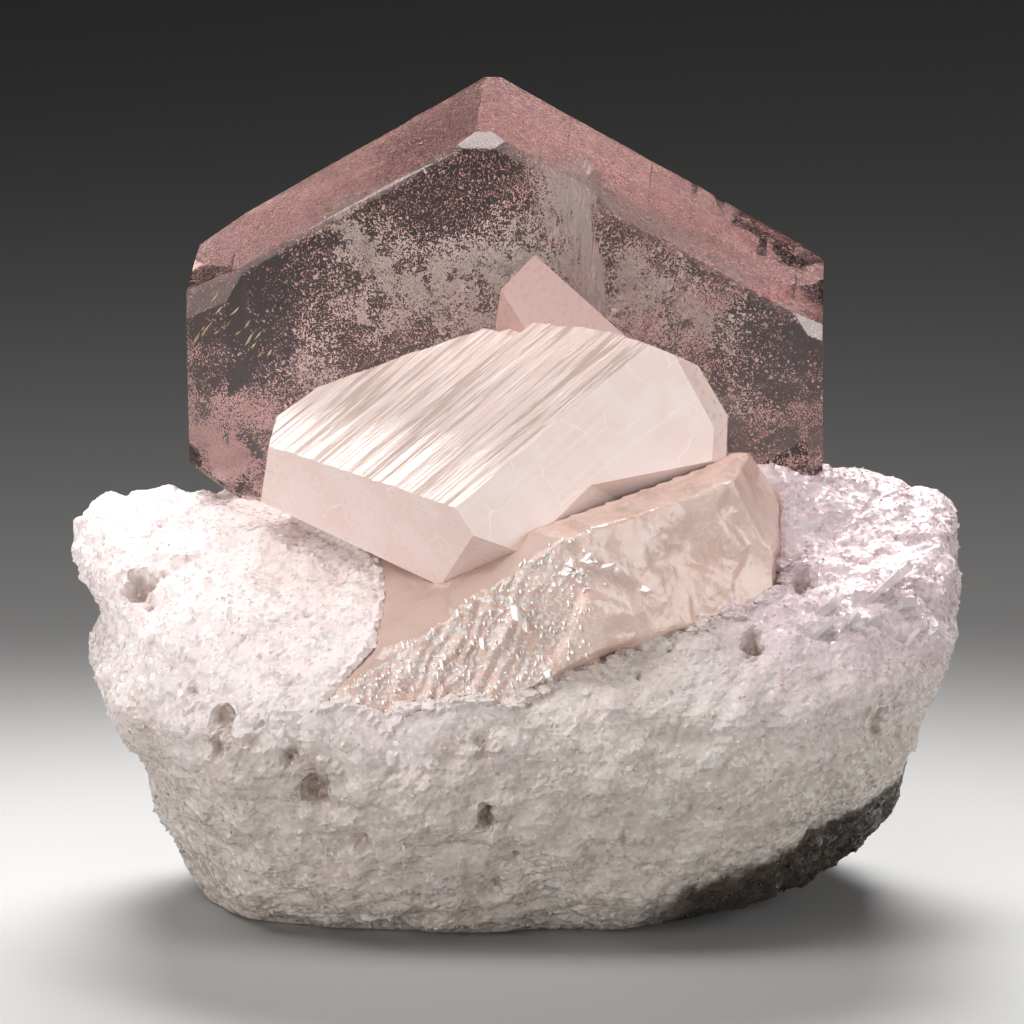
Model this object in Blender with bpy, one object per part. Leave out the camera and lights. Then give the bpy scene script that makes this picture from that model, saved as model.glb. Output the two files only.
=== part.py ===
"""Pink beryl on white rock: a tabular crystal with two parallel growths, a striated crystal across its foot and
a broken crystal below, grown into one another, and the granular matrix that they are sunk in, on a flat base.

Lengths are millimetres until a mesh is made, +X is right, +Y is back, +Z is up, and the origin is the middle of
the base of the box that the pieces fill. A crystal is the space inside its faces. Its faces are beryl's own
forms, which are the pinacoid, the prism and two pyramids, or breaks and contacts that follow no form.
"""

import math
from dataclasses import dataclass, field

import bmesh
import bpy
from mathutils import Vector, noise

MM = 0.001
GAP = 0.3
BLOCK = 130.0

# Beryl's angles: how far each form tilts from the pinacoid, in degrees
PRISM_TILT = 90.0
PYRAMID_TILT = 29.95
CORNER_TILT = 44.9

# The tabular crystal. A face of a form is its tilt, its place in sixths of a turn, and its distance
BACK_CENTRE = (-0.7, 15.8, 63.6)
BACK_AXIS = (-92.2, -4.0)
BACK_TURN = 0.5
HALF_THICKNESS = 13.3
SECOND_GROWTH_STEP = 4.0
SHARED_FACES = (
    (PRISM_TILT, 0, 35.3),
    (PRISM_TILT, 1, 18.9),
    (PRISM_TILT, 2, 20.6),
    (PRISM_TILT, 3, 34.8),
    (PRISM_TILT, 4, 31.0),
    (PRISM_TILT, 5, 31.0),
    (PRISM_TILT, 1.5, 22.3),
)
MAIN_GROWTH_FACES = (
    (PYRAMID_TILT, 1, 20.4),
    (PYRAMID_TILT, 2, 21.5),
    (PYRAMID_TILT, 3, 26.6),
    (CORNER_TILT, 1.5, 24.1),
    (CORNER_TILT, 2.5, 29.1),
)
SECOND_GROWTH_FACES = (
    (PYRAMID_TILT, 0, 31.8),
    (CORNER_TILT, 0.5, 33.1),
)
# A face of no form is the azimuth and elevation that it looks in, and its distance
RIM_FACES = ((164.2, 53.6, 24.8), (17.1, 53.9, 23.9))
SUTURE_FACE = (177.0, 5.0, -9.5)

# The striated crystal, with the wedge behind it
FRONT_CENTRE = (-3.2, -8.7, 52.3)
FRONT_AXIS = (-131.4, -22.3)
FRONT_TURN = 22.5
NEAR_END = 18.15
FAR_END = 26.0
PALE_FACE = (PRISM_TILT, 0, 14.0)
STRIATED_FACE = (PRISM_TILT, 1, 7.05)
HIDDEN_FACE = (PRISM_TILT, -1, 26.0)
FRONT_CUT_FACES = (
    (33.4, 65.5, 16.55),
    (-21.4, 27.4, 20.85),
    (-36.2, 14.9, 18.8),
    (-3.0, 0.0, 26.4),
    (114.4, 24.2, 11.7),
    (139.5, 15.8, 16.6),
    (176.5, 10.7, 22.5),
    (-85.3, -45.8, 19.2),
    (-161.1, -66.1, 14.8),
    (90.0, 0.0, 26.0),
)
# What has broken away below the pale face, and at the striated face's far edge
LEDGE_FACES = ((141.4, 2.3, -15.9), (130.3, 22.8, -15.3))
NOTCH_FACES = ((-133.0, -38.3, -12.1), (-24.9, -39.1, -6.4), (67.7, -66.5, -6.0))
WEDGE_FACES = (
    (-114.5, 16.5, -5.95),
    (-131.2, 1.4, -9.1),
    (39.6, 22.3, 17.5),
    (-3.0, 0.0, 16.0),
    (90.0, 0.0, 22.0),
    (180.0, 0.0, 4.0),
    (0.0, 90.0, 24.0),
    (0.0, -90.0, 2.0),
)
# Grooves of the striated face: place across it from the crystal's middle, width and depth
STRIATIONS = (
    (-9.5, 1.4, 0.35),
    (-6.6, 0.9, 0.25),
    (-3.4, 1.8, 0.45),
    (0.2, 1.0, 0.3),
    (3.1, 1.6, 0.5),
    (6.6, 1.2, 0.35),
    (9.8, 1.9, 0.4),
)
GROOVE_REACH = 30.0
GROOVE_ABOVE = 0.4
GROOVE_LEAN = 0.2

# The broken crystal below
LOWER_CENTRE = (6.0, -16.0, 36.0)
LOWER_FACES = (
    (-94.7, 1.4, 16.4),
    (-147.7, 48.5, 14.4),
    (-80.4, 15.8, 18.4),
    (-81.8, 45.7, 18.6),
    (-55.1, 16.1, 15.5),
    (-2.8, 0.6, 22.9),
    (-163.9, 81.9, 11.8),
    (-48.0, -51.0, 10.0),
    (-36.6, -29.8, 15.9),
    (90.0, 0.0, 11.0),
    (0.0, -90.0, 14.0),
    (180.0, 0.0, 26.0),
)

# The rock's sections: height, then how far it reaches left, right, forward and back
ROCK_LEVELS = (
    (0.0, -33.8, 25.0, -17.5, 19.0),
    (1.2, -34.4, 30.0, -20.0, 21.0),
    (3.5, -35.6, 35.5, -23.5, 23.5),
    (6.5, -36.8, 39.0, -26.8, 25.5),
    (10.0, -38.5, 41.0, -29.6, 27.0),
    (13.5, -40.1, 42.6, -31.4, 28.0),
    (17.0, -41.7, 43.6, -32.6, 28.8),
    (20.5, -43.1, 44.2, -33.4, 29.4),
    (24.0, -45.2, 45.8, -33.8, 29.8),
    (27.5, -47.0, 48.0, -33.4, 30.0),
    (30.5, -45.6, 49.4, -31.8, 30.0),
    (33.0, -45.8, 50.0, -29.8, 29.8),
    (35.5, -47.4, 50.0, -27.0, 29.2),
    (37.5, -48.2, 49.6, -23.4, 28.0),
    (39.4, -48.2, 49.2, -18.6, 26.4),
    (41.0, -47.8, 48.2, -13.0, 24.0),
    (42.2, -45.6, 45.6, -8.0, 20.0),
    (42.8, -35.0, 36.0, -4.0, 14.0),
    (43.0, -18.0, 19.0, 0.0, 9.0),
)
ROCK_RINGS = 32
ROCK_SIDES = 124
ROCK_SQUARENESS = 2.7
ROCK_MIDDLE = (0.0, 0.0, 24.0)
ROCK_TOP = (0.5, 4.5, 43.2)
# The rough surface: lumps per millimetre, and how far they stand out
BROAD_RELIEF = (0.055, 1.4)
LUMP_RELIEF = (0.23, 0.6)
# The break that undercuts the rock's right side, and the share of what lies beyond it that it takes
ROCK_BREAK_FACE = (-38.0, -41.0, 36.9)
ROCK_BREAK_SHARE = 0.85
# Rises of the rock's top: place, reach and height
ROCK_TOP_START = 36.0
ROCK_RISES = (
    (27.0, -2.0, 8.0, 6.0),
    (37.0, 4.0, 8.0, 3.0),
)
# Pits in the rock's front: place across, height, reach and depth
ROCK_PITS = (
    (-40.4, 36.8, 2.4, 2.0),
    (-31.0, 26.8, 1.8, 1.4),
    (-21.0, 20.5, 2.3, 1.6),
    (-12.9, 22.6, 2.0, 0.8),
    (-2.7, 18.0, 1.8, 2.0),
    (30.9, 40.5, 2.2, 1.8),
    (26.0, 34.5, 2.0, 1.5),
    (39.8, 23.8, 1.8, 1.6),
)


@dataclass(frozen=True)
class Face:
    """One face: the direction that it looks in, and its distance from the crystal's centre."""

    normal: Vector
    distance: float


@dataclass
class Crystal:
    """The space inside a set of faces. Its axis is the azimuth and elevation of its near end."""

    centre: tuple
    axis: tuple = (0.0, 0.0)
    turn: float = 0.0
    faces: list = field(default_factory=list)

    def frame(self):
        """The c axis, and the level and upright directions square to it."""
        along = direction(*self.axis)
        level = Vector((0, 0, 1)).cross(along).normalized()
        return along, level, along.cross(level)

    def form(self, tilt, place, distance, far=False):
        """Adds one face of a form, tilted from the near or the far end."""
        along, level, upright = self.frame()
        turn = math.radians(60 * place + self.turn)
        outward = math.cos(turn) * level + math.sin(turn) * upright
        end = -along if far else along
        lean = math.radians(tilt)
        self.faces.append(Face(math.cos(lean) * end + math.sin(lean) * outward, distance))
        return self

    def ends(self, near, far):
        """Adds the pinacoid's two faces."""
        return self.form(0.0, 0, near).form(0.0, 0, far, far=True)

    def forms(self, rows):
        """Adds faces of forms from a table."""
        for row in rows:
            self.form(*row)
        return self

    def cuts(self, rows):
        """Adds faces that follow no form, from a table."""
        self.faces.extend(free_face(*row) for row in rows)
        return self

    def body(self, margin=0.0):
        """The closed mesh inside every face, with each face moved out by margin."""
        made = bmesh.new()
        bmesh.ops.create_cube(made, size=BLOCK)
        centre = Vector(self.centre)
        bmesh.ops.translate(made, verts=made.verts, vec=centre)
        for face in self.faces:
            cut = bmesh.ops.bisect_plane(
                made,
                geom=made.verts[:] + made.edges[:] + made.faces[:],
                plane_co=centre + face.normal * (face.distance + margin),
                plane_no=face.normal,
                clear_outer=True,
                dist=1e-5,
            )
            rim = [item for item in cut["geom_cut"] if isinstance(item, bmesh.types.BMEdge)]
            if rim:
                bmesh.ops.edgenet_fill(made, edges=rim)
        bmesh.ops.recalc_face_normals(made, faces=made.faces)
        return made


def direction(azimuth, elevation):
    """Unit vector from degrees: azimuth from +X toward +Y, elevation above the level."""
    turn, rise = math.radians(azimuth), math.radians(elevation)
    return Vector((math.cos(turn) * math.cos(rise), math.sin(turn) * math.cos(rise), math.sin(rise)))


def free_face(azimuth, elevation, distance):
    """A face that follows no form."""
    return Face(direction(azimuth, elevation), distance)


def main_growth():
    """The tabular crystal's wider growth, with its corner face at the top and a broad bevel on the left."""
    crystal = Crystal(BACK_CENTRE, BACK_AXIS, BACK_TURN).ends(HALF_THICKNESS, HALF_THICKNESS)
    return crystal.forms(SHARED_FACES + MAIN_GROWTH_FACES).cuts(RIM_FACES)


def second_growth():
    """Its growth on the right, which stands forward of the first by a step."""
    crystal = Crystal(BACK_CENTRE, BACK_AXIS, BACK_TURN)
    crystal.ends(HALF_THICKNESS + SECOND_GROWTH_STEP, HALF_THICKNESS)
    return crystal.forms(SHARED_FACES + SECOND_GROWTH_FACES).cuts(RIM_FACES + (SUTURE_FACE,))


def front_growth():
    """The striated crystal before anything breaks off it."""
    crystal = Crystal(FRONT_CENTRE, FRONT_AXIS, FRONT_TURN).ends(NEAR_END, FAR_END)
    return crystal.forms((STRIATED_FACE, PALE_FACE, HIDDEN_FACE)).cuts(FRONT_CUT_FACES)


def wedge_growth():
    """The small wedge that joins the striated crystal to the tabular one."""
    return Crystal(FRONT_CENTRE).cuts(WEDGE_FACES)


def lower_growth():
    """The broken crystal, with its glittering face on the left and its broken mass on the right."""
    return Crystal(LOWER_CENTRE).cuts(LOWER_FACES)


def striations():
    """Grooves to cut along the striated face, side by side."""
    crystal = Crystal(FRONT_CENTRE, FRONT_AXIS, FRONT_TURN).forms((STRIATED_FACE,))
    along, outward = crystal.frame()[0], crystal.faces[0].normal
    across = along.cross(outward)
    surface = Vector(crystal.centre) + outward * crystal.faces[0].distance
    made = bmesh.new()
    for place, width, depth in STRIATIONS:
        middle = surface + across * place
        ends = []
        for reach in (-GROOVE_REACH, GROOVE_REACH):
            corners = (
                middle + along * reach - across * width / 2 + outward * GROOVE_ABOVE,
                middle + along * reach + across * width / 2 + outward * GROOVE_ABOVE,
                middle + along * reach + across * width * GROOVE_LEAN - outward * depth,
            )
            ends.append([made.verts.new(corner) for corner in corners])
        near, far = ends
        made.faces.new(near)
        made.faces.new(reversed(far))
        for corner in range(3):
            following = (corner + 1) % 3
            made.faces.new((near[following], near[corner], far[corner], far[following]))
    bmesh.ops.recalc_face_normals(made, faces=made.faces)
    return made


def rock_section(share):
    """One section of the rock, at a share of the way from its base to its top."""
    place = share * (len(ROCK_LEVELS) - 1)
    first = min(int(place), len(ROCK_LEVELS) - 2)
    part = place - first
    return [low + (high - low) * part for low, high in zip(ROCK_LEVELS[first], ROCK_LEVELS[first + 1])]


def rock_form(section, share):
    """A point of the rock's plain form, at a share of a turn about a section."""
    height, left, right, front, back = section
    turn = 2 * math.pi * share
    power = 2 / ROCK_SQUARENESS
    across = math.copysign(abs(math.cos(turn)) ** power, math.cos(turn))
    along = math.copysign(abs(math.sin(turn)) ** power, math.sin(turn))
    x = (left + right) / 2 + (right - left) / 2 * across
    y = (front + back) / 2 + (back - front) / 2 * along
    return Vector((x, y, height))


def rock_relief(point):
    """How far the rough surface stands out from the plain form at a point."""
    relief = BROAD_RELIEF[1] * noise.fractal(point * BROAD_RELIEF[0], 1.0, 2.0, 3)
    relief += LUMP_RELIEF[1] * noise.noise(point * LUMP_RELIEF[0])
    if point.y < 0.0:
        for across, height, reach, depth in ROCK_PITS:
            away = math.hypot(point.x - across, point.z - height) / reach
            relief -= depth * math.exp(-away * away)
    return relief


def rock_point(section, share):
    """A point of the rough surface: plain form, relief, rises and the break under the right side."""
    plain = rock_form(section, share)
    middle = Vector(ROCK_MIDDLE)
    point = plain + (plain - middle).normalized() * rock_relief(plain)
    if plain.z > ROCK_TOP_START:
        for across, along, reach, height in ROCK_RISES:
            away = math.hypot(point.x - across, point.y - along) / reach
            point.z += height * math.exp(-away * away)
    rock_break = free_face(*ROCK_BREAK_FACE)
    beyond = (point - middle).dot(rock_break.normal) - rock_break.distance
    point -= rock_break.normal * (ROCK_BREAK_SHARE * max(beyond, 0.0))
    if section[0] == 0.0:
        point.z = 0.0
    return point


def rock():
    """The matrix: rings of points joined up, with a flat base and a domed top."""
    made = bmesh.new()
    rings = []
    for level in range(ROCK_RINGS):
        section = rock_section(level / (ROCK_RINGS - 1))
        points = [rock_point(section, side / ROCK_SIDES) for side in range(ROCK_SIDES)]
        rings.append([made.verts.new(point) for point in points])
    top = made.verts.new(ROCK_TOP)
    for side in range(ROCK_SIDES):
        following = (side + 1) % ROCK_SIDES
        for lower, upper in zip(rings, rings[1:]):
            made.faces.new((lower[side], lower[following], upper[following], upper[side]))
        made.faces.new((rings[-1][side], rings[-1][following], top))
    made.faces.new(reversed(rings[0]))
    return made


def material(name, colour, roughness, transmission=0.0):
    """A plain material for one piece."""
    made = bpy.data.materials.new(name)
    made.use_nodes = True
    shader = made.node_tree.nodes["Principled BSDF"]
    shader.inputs["Base Color"].default_value = (*colour, 1.0)
    shader.inputs["Roughness"].default_value = roughness
    shader.inputs["Transmission Weight"].default_value = transmission
    shader.inputs["IOR"].default_value = 1.58
    return made


def put(name, body, look=None):
    """Puts a body in the scene, in metres. One without a look is a cutter, which no render shows."""
    bmesh.ops.scale(body, verts=body.verts, vec=(MM, MM, MM))
    mesh = bpy.data.meshes.new(name)
    body.to_mesh(mesh)
    body.free()
    made = bpy.data.objects.new(name, mesh)
    bpy.context.scene.collection.objects.link(made)
    if look is None:
        made.hide_render = True
        made.display_type = "WIRE"
    else:
        mesh.materials.append(look)
    return made


def combine(target, operation, *others):
    """Joins others to target, or cuts them away from it."""
    for other in others:
        step = target.modifiers.new(f"{operation.lower()} {other.name}", "BOOLEAN")
        step.operation = operation
        step.solver = "EXACT"
        step.object = other


def crystals():
    """The crystals as one solid, since they grew into one another."""
    striated = put("striated growth", front_growth().body())
    combine(
        striated,
        "DIFFERENCE",
        put("ledge break", Crystal(FRONT_CENTRE).cuts(LEDGE_FACES).body()),
        put("notch break", Crystal(FRONT_CENTRE).cuts(NOTCH_FACES).body()),
        put("striations", striations()),
    )
    grown = put("crystals", main_growth().body(), material("rose beryl", (0.88, 0.62, 0.57), 0.06, 0.9))
    combine(
        grown,
        "UNION",
        put("second growth", second_growth().body()),
        striated,
        put("wedge growth", wedge_growth().body()),
        put("broken growth", lower_growth().body()),
    )
    return grown


def matrix():
    """The rock, with the sockets that the crystals sit in."""
    white = material("white matrix", (0.86, 0.83, 0.80), 0.75)
    made = put("matrix", rock(), white)
    growths = (main_growth(), second_growth(), front_growth(), wedge_growth(), lower_growth())
    sockets = [put(f"socket {number}", growth.body(GAP)) for number, growth in enumerate(growths, 1)]
    combine(made, "DIFFERENCE", *sockets)
    return made


def settle(pieces):
    """Moves everything so that the origin is the middle of the pieces' box, on its base."""
    bpy.context.view_layer.update()
    graph = bpy.context.evaluated_depsgraph_get()
    corners = [Vector(corner) for piece in pieces for corner in piece.evaluated_get(graph).bound_box]
    for axis in (0, 1):
        values = [corner[axis] for corner in corners]
        for thing in bpy.data.objects:
            thing.location[axis] = -(min(values) + max(values)) / 2


def clear_scene():
    """Removes whatever the scene holds."""
    for thing in list(bpy.data.objects):
        bpy.data.objects.remove(thing, do_unlink=True)


clear_scene()
settle((crystals(), matrix()))
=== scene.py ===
"""Dresses the pink beryl specimen: clear, milky and broken crystals on sugary white rock.

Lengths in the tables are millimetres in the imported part's own frame. Every mesh is made in metres.
"""

import logging
import math
from dataclasses import dataclass, field
from enum import Enum

import bmesh
import bpy
import numpy as np
from mathutils import Vector, kdtree, noise
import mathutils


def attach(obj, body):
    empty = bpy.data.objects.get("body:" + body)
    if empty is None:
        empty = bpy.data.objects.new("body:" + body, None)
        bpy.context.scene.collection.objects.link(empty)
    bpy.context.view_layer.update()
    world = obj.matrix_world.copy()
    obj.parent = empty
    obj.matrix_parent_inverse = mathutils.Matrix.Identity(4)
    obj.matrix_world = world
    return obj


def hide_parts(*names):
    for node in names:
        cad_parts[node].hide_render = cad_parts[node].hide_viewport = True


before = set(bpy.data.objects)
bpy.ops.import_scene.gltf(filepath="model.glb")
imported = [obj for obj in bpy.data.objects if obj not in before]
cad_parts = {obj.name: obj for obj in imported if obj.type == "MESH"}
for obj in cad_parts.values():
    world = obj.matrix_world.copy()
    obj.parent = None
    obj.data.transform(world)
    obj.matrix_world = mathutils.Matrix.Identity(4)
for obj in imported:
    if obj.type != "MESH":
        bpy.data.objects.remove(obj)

Triple = tuple[float, float, float]
Row = tuple[float, ...]
Socket = bpy.types.NodeSocket

MM = 0.001
BLOCK = 130.0  # a cube of this size holds any of the crystals
CONTACT = 0.03  # the gap where two crystals grew against each other
SAME = 1e-5  # points this close are one point
NEAR = 1e-3  # a point this close to a face lies on it
FADE = 0.9  # how fast the finer layers of noise fade
FINER = 2.1  # how much finer each layer of noise is than the last
BERYL_IOR = 1.58
WHITE = (1.0, 0.97, 0.95)
HALF = (0.5, 0.5, 0.5)
BLOCK_SIDES = np.array([(0, 2, 3, 1), (4, 5, 7, 6), (0, 1, 5, 4), (2, 6, 7, 3), (0, 4, 6, 2), (1, 3, 7, 5)])
LOG = logging.getLogger("specimen")


class Slot(Enum):
    """The record's material slots."""

    BERYL = "rose_beryl"
    ROCK = "white_rock"


class Tilt(Enum):
    """How far each of beryl's forms tilts from the pinacoid, in degrees."""

    PRISM = 90.0
    PYRAMID = 29.95
    CORNER = 44.9


def direction(azimuth: float, elevation: float) -> Vector:
    """Gives the unit vector at an azimuth, in degrees from +X toward +Y, and an elevation."""
    turn, rise = math.radians(azimuth), math.radians(elevation)
    return Vector((math.cos(turn) * math.cos(rise), math.sin(turn) * math.cos(rise), math.sin(rise)))


# Meshes


@dataclass
class Growth:
    """The space inside a set of crystal faces, about a centre.

    The axis is the azimuth and elevation of the crystal's near end.
    """

    centre: Triple
    axis: tuple[float, float] = (0.0, 0.0)
    turn: float = 0.0
    faces: list[tuple[Vector, float]] = field(default_factory=list)

    def axes(self) -> tuple[Vector, Vector, Vector]:
        """Gives the crystal's own directions.

        Returns:
            The c axis, and the level and upright directions square to it.
        """
        along = direction(*self.axis)
        level = Vector((0, 0, 1)).cross(along).normalized()
        return along, level, along.cross(level)

    def form(self, tilt: float, place: float, distance: float, far: bool = False) -> "Growth":
        """Adds one face of a form.

        Args:
            tilt: Degrees from the pinacoid.
            place: Sixths of a turn about the axis.
            distance: How far the face is from the centre.
            far: Whether it tilts from the far end.

        Returns:
            The growth itself.
        """
        along, level, upright = self.axes()
        turn = math.radians(60 * place + self.turn)
        outward = math.cos(turn) * level + math.sin(turn) * upright
        lean = math.radians(tilt)
        end = -along if far else along
        self.faces.append((math.cos(lean) * end + math.sin(lean) * outward, distance))
        return self

    def ends(self, near: float, far: float) -> "Growth":
        """Adds the pinacoid's two faces, and gives the growth itself."""
        return self.form(0.0, 0, near).form(0.0, 0, far, far=True)

    def forms(self, rows: tuple[tuple[Tilt, float, float], ...]) -> "Growth":
        """Adds faces of forms.

        Args:
            rows: Each face's form, its sixths of a turn about the axis and its distance.

        Returns:
            The growth itself.
        """
        for tilt, place, distance in rows:
            self.form(tilt.value, place, distance)
        return self

    def cuts(self, rows: tuple[Triple, ...]) -> "Growth":
        """Adds faces that follow no form from a table of azimuth, elevation and distance."""
        self.faces.extend((direction(azimuth, elevation), distance) for azimuth, elevation, distance in rows)
        return self

    def body(self, margin: float = 0.0) -> bmesh.types.BMesh:
        """Makes the closed mesh inside every face.

        Args:
            margin: How far each face is moved out.

        Returns:
            The mesh, in millimetres.
        """
        made = bmesh.new()
        bmesh.ops.create_cube(made, size=BLOCK)
        centre = Vector(self.centre)
        bmesh.ops.translate(made, verts=made.verts, vec=centre)
        for normal, distance in self.faces:
            cut = bmesh.ops.bisect_plane(
                made,
                geom=made.verts[:] + made.edges[:] + made.faces[:],
                plane_co=centre + normal * (distance + margin),
                plane_no=normal,
                clear_outer=True,
                dist=SAME,
            )
            rim = [item for item in cut["geom_cut"] if isinstance(item, bmesh.types.BMEdge)]
            if rim:
                bmesh.ops.edgenet_fill(made, edges=rim)
        bmesh.ops.recalc_face_normals(made, faces=made.faces)
        return made

    def ridge(self, made: bmesh.types.BMesh, number: int, shares: np.ndarray, heights: np.ndarray) -> None:
        """Cuts one face into strips along the c axis, and sets each line between them at its own height.

        Args:
            made: The growth's body.
            number: Which face.
            shares: Where the lines are, as rising shares of the face's width.
            heights: How far each line stands out.
        """
        outward, distance = self.faces[number]
        across = self.axes()[0].cross(outward).normalized()
        surface = Vector(self.centre) + outward * distance

        def on_face(point: Vector) -> bool:
            """Tells whether a point lies on the face."""
            return abs((point - surface).dot(outward)) < NEAR

        reach = [(vert.co - surface).dot(across) for vert in made.verts if on_face(vert.co)]
        if not reach:
            return
        places = min(reach) + (max(reach) - min(reach)) * shares
        for place in places:
            faces = [face for face in made.faces if all(on_face(vert.co) for vert in face.verts)]
            edges = {edge for face in faces for edge in face.edges}
            verts = {vert for face in faces for vert in face.verts}
            bmesh.ops.bisect_plane(
                made,
                geom=[*faces, *edges, *verts],
                plane_co=surface + across * float(place),
                plane_no=across,
                dist=SAME,
            )
        lifts = dict(zip(np.round(places, 2), heights))
        for vert in made.verts:
            if on_face(vert.co):
                place = round((vert.co - surface).dot(across), 2)
                vert.co += outward * float(lifts.get(place, 0.0))

    def normals(self) -> np.ndarray:
        """Gives the faces' normals, in rows."""
        return np.array([normal for normal, _ in self.faces])

    def past(self, points: np.ndarray) -> np.ndarray:
        """Measures how far each point is past each face, in rows of millimetres."""
        distances = np.array([distance for _, distance in self.faces])
        return (points - np.array(self.centre)) @ self.normals().T - distances

    def outside(self, points: np.ndarray) -> np.ndarray:
        """Measures how far points are past their nearest face, negative inside."""
        return self.past(points).max(axis=1)

    def rise(self, points: np.ndarray) -> np.ndarray:
        """Gives how far up the face that each point is nearest to looks, from -1 to 1."""
        return self.normals()[self.past(points).argmax(axis=1), 2]


def clearance(growths: tuple[Growth, ...], points: np.ndarray) -> np.ndarray:
    """Measures how far points are from the nearest of several growths, negative inside."""
    return np.min([growth.outside(points) for growth in growths], axis=0)


@dataclass
class Piece:
    """One visible piece of the specimen, on its way into the scene."""

    name: str
    slot: Slot
    stands_for: tuple[str, ...] = ()

    def place(self, mesh: bpy.types.Mesh, finish: "Finish") -> None:
        """Puts a mesh in the scene as this piece.

        Args:
            mesh: The mesh, in metres.
            finish: What it looks like.
        """
        mesh.name = self.name
        mesh.materials.clear()
        mesh.materials.append(finish.material())
        mesh.shade_flat()
        made = linked(self.name, mesh)
        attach(made, "root")
        if self.stands_for:
            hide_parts(*self.stands_for)
        LOG.info("%s: %d faces", self.name, len(mesh.polygons))


def linked(name: str, data: bpy.types.ID) -> bpy.types.Object:
    """Puts data in the scene as an object.

    Args:
        name: The object's name.
        data: The mesh, light or camera.

    Returns:
        The object.
    """
    made = bpy.data.objects.new(name, data)
    bpy.context.scene.collection.objects.link(made)
    return made


def mesh_of(body: bmesh.types.BMesh) -> bpy.types.Mesh:
    """Turns a body into a mesh, and frees the body.

    Args:
        body: The body, in millimetres.

    Returns:
        The mesh, in metres.
    """
    bmesh.ops.scale(body, verts=body.verts, vec=(MM, MM, MM))
    mesh = bpy.data.meshes.new("made")
    body.to_mesh(mesh)
    body.free()
    return mesh


def mesh_from(points: np.ndarray, faces: np.ndarray) -> bpy.types.Mesh:
    """Makes a mesh of faces that all have the same number of corners.

    Args:
        points: Rows of millimetres.
        faces: Rows of point numbers.

    Returns:
        The mesh, in metres.
    """
    count, corners = faces.shape
    mesh = bpy.data.meshes.new("made")
    mesh.vertices.add(len(points))
    mesh.vertices.foreach_set("co", (points * MM).astype(np.float32).ravel())
    mesh.loops.add(count * corners)
    mesh.loops.foreach_set("vertex_index", faces.astype(np.int32).ravel())
    mesh.polygons.add(count)
    mesh.polygons.foreach_set("loop_start", np.arange(0, count * corners, corners, dtype=np.int32))
    mesh.update(calc_edges=True)
    return mesh


def scattered(
    random: np.random.Generator, count: int, shape: float, scale: float, least: float = 0.6
) -> np.ndarray:
    """Draws flakes' half lengths and widths in millimetres, each at least a share of the flake's size."""
    return random.gamma(shape, scale, (count, 1)) * random.uniform(least, 1.0, (count, 2))


def flakes(
    places: np.ndarray,
    facing: Triple,
    sizes: np.ndarray,
    wobble: float,
    random: np.random.Generator,
    run: Triple = (0, 0, 0),
) -> bpy.types.Mesh:
    """Makes many small flat flakes.

    Args:
        places: Their middles, in rows of millimetres.
        facing: The direction that they face on the whole.
        sizes: Their half length and half width, in rows.
        wobble: How far they tilt from that, as a slope.
        random: Where their tilts and outlines come from.
        run: The direction of their length. They lie every way if it is zero.

    Returns:
        One mesh of all the flakes.
    """
    count = len(places)
    normals = np.array(facing) + random.normal(0, wobble, (count, 3))
    normals /= np.linalg.norm(normals, axis=1)[:, None]
    length = np.array(run) + random.normal(0, 0.08 if any(run) else 1.0, (count, 3))
    width = np.cross(normals, length)
    width /= np.linalg.norm(width, axis=1)[:, None]
    length = np.cross(width, normals)
    turns = np.linspace(0, 2 * math.pi, 4, endpoint=False) + random.uniform(-0.45, 0.45, (count, 4))
    reach = random.uniform(0.7, 1.1, (count, 4))
    points = places[:, None] + (np.cos(turns) * reach * sizes[:, :1])[..., None] * length[:, None]
    points += (np.sin(turns) * reach * sizes[:, 1:])[..., None] * width[:, None]
    return mesh_from(points.reshape(-1, 3), np.arange(count * 4).reshape(-1, 4))


def combined(start: bpy.types.Mesh, *steps: tuple[str, bpy.types.Mesh]) -> bpy.types.Mesh:
    """Joins meshes to a mesh, or cuts them away from it, in order.

    Args:
        start: The mesh to begin with.
        steps: Pairs of UNION or DIFFERENCE and the other mesh.

    Returns:
        The mesh that results.
    """
    target = linked("target", start)
    helpers = [linked("helper", mesh) for _, mesh in steps]
    for (operation, _), helper in zip(steps, helpers):
        step = target.modifiers.new(operation, "BOOLEAN")
        step.operation = operation
        step.solver = "EXACT"
        step.object = helper
    return taken(target, helpers)


def taken(target: bpy.types.Object, helpers: list[bpy.types.Object]) -> bpy.types.Mesh:
    """Gives the mesh that an object's modifiers make, and removes the object.

    Args:
        target: The object.
        helpers: Objects that its modifiers use, which go too.

    Returns:
        The mesh.
    """
    graph = bpy.context.evaluated_depsgraph_get()
    made = bpy.data.meshes.new_from_object(target.evaluated_get(graph))
    for thing in (target, *helpers):
        bpy.data.objects.remove(thing, do_unlink=True)
    return made


def remeshed(source: bpy.types.Mesh, voxel: float) -> bpy.types.Mesh:
    """Gives a mesh even faces all over.

    Args:
        source: The closed mesh to follow.
        voxel: The size of a face, in millimetres.

    Returns:
        The new mesh.
    """
    target = linked("source", source)
    step = target.modifiers.new("even", "REMESH")
    step.mode = "VOXEL"
    step.voxel_size = voxel * MM
    return taken(target, [])


def cloudy(places: np.ndarray, octaves: int = 3, size: float = 1.0) -> np.ndarray:
    """Gives cloudy values between about -1 and 1 at places, with lumps of a size."""
    return np.array([noise.fractal(Vector(place) / size, FADE, FINER, octaves) for place in places])


def tree_of(points: np.ndarray) -> kdtree.KDTree:
    """Gives a tree that finds the nearest of many points.

    Args:
        points: The points, in rows.

    Returns:
        The tree, which knows each point by its row.
    """
    tree = kdtree.KDTree(len(points))
    for number, point in enumerate(points):
        tree.insert(point, number)
    tree.balance()
    return tree


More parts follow.
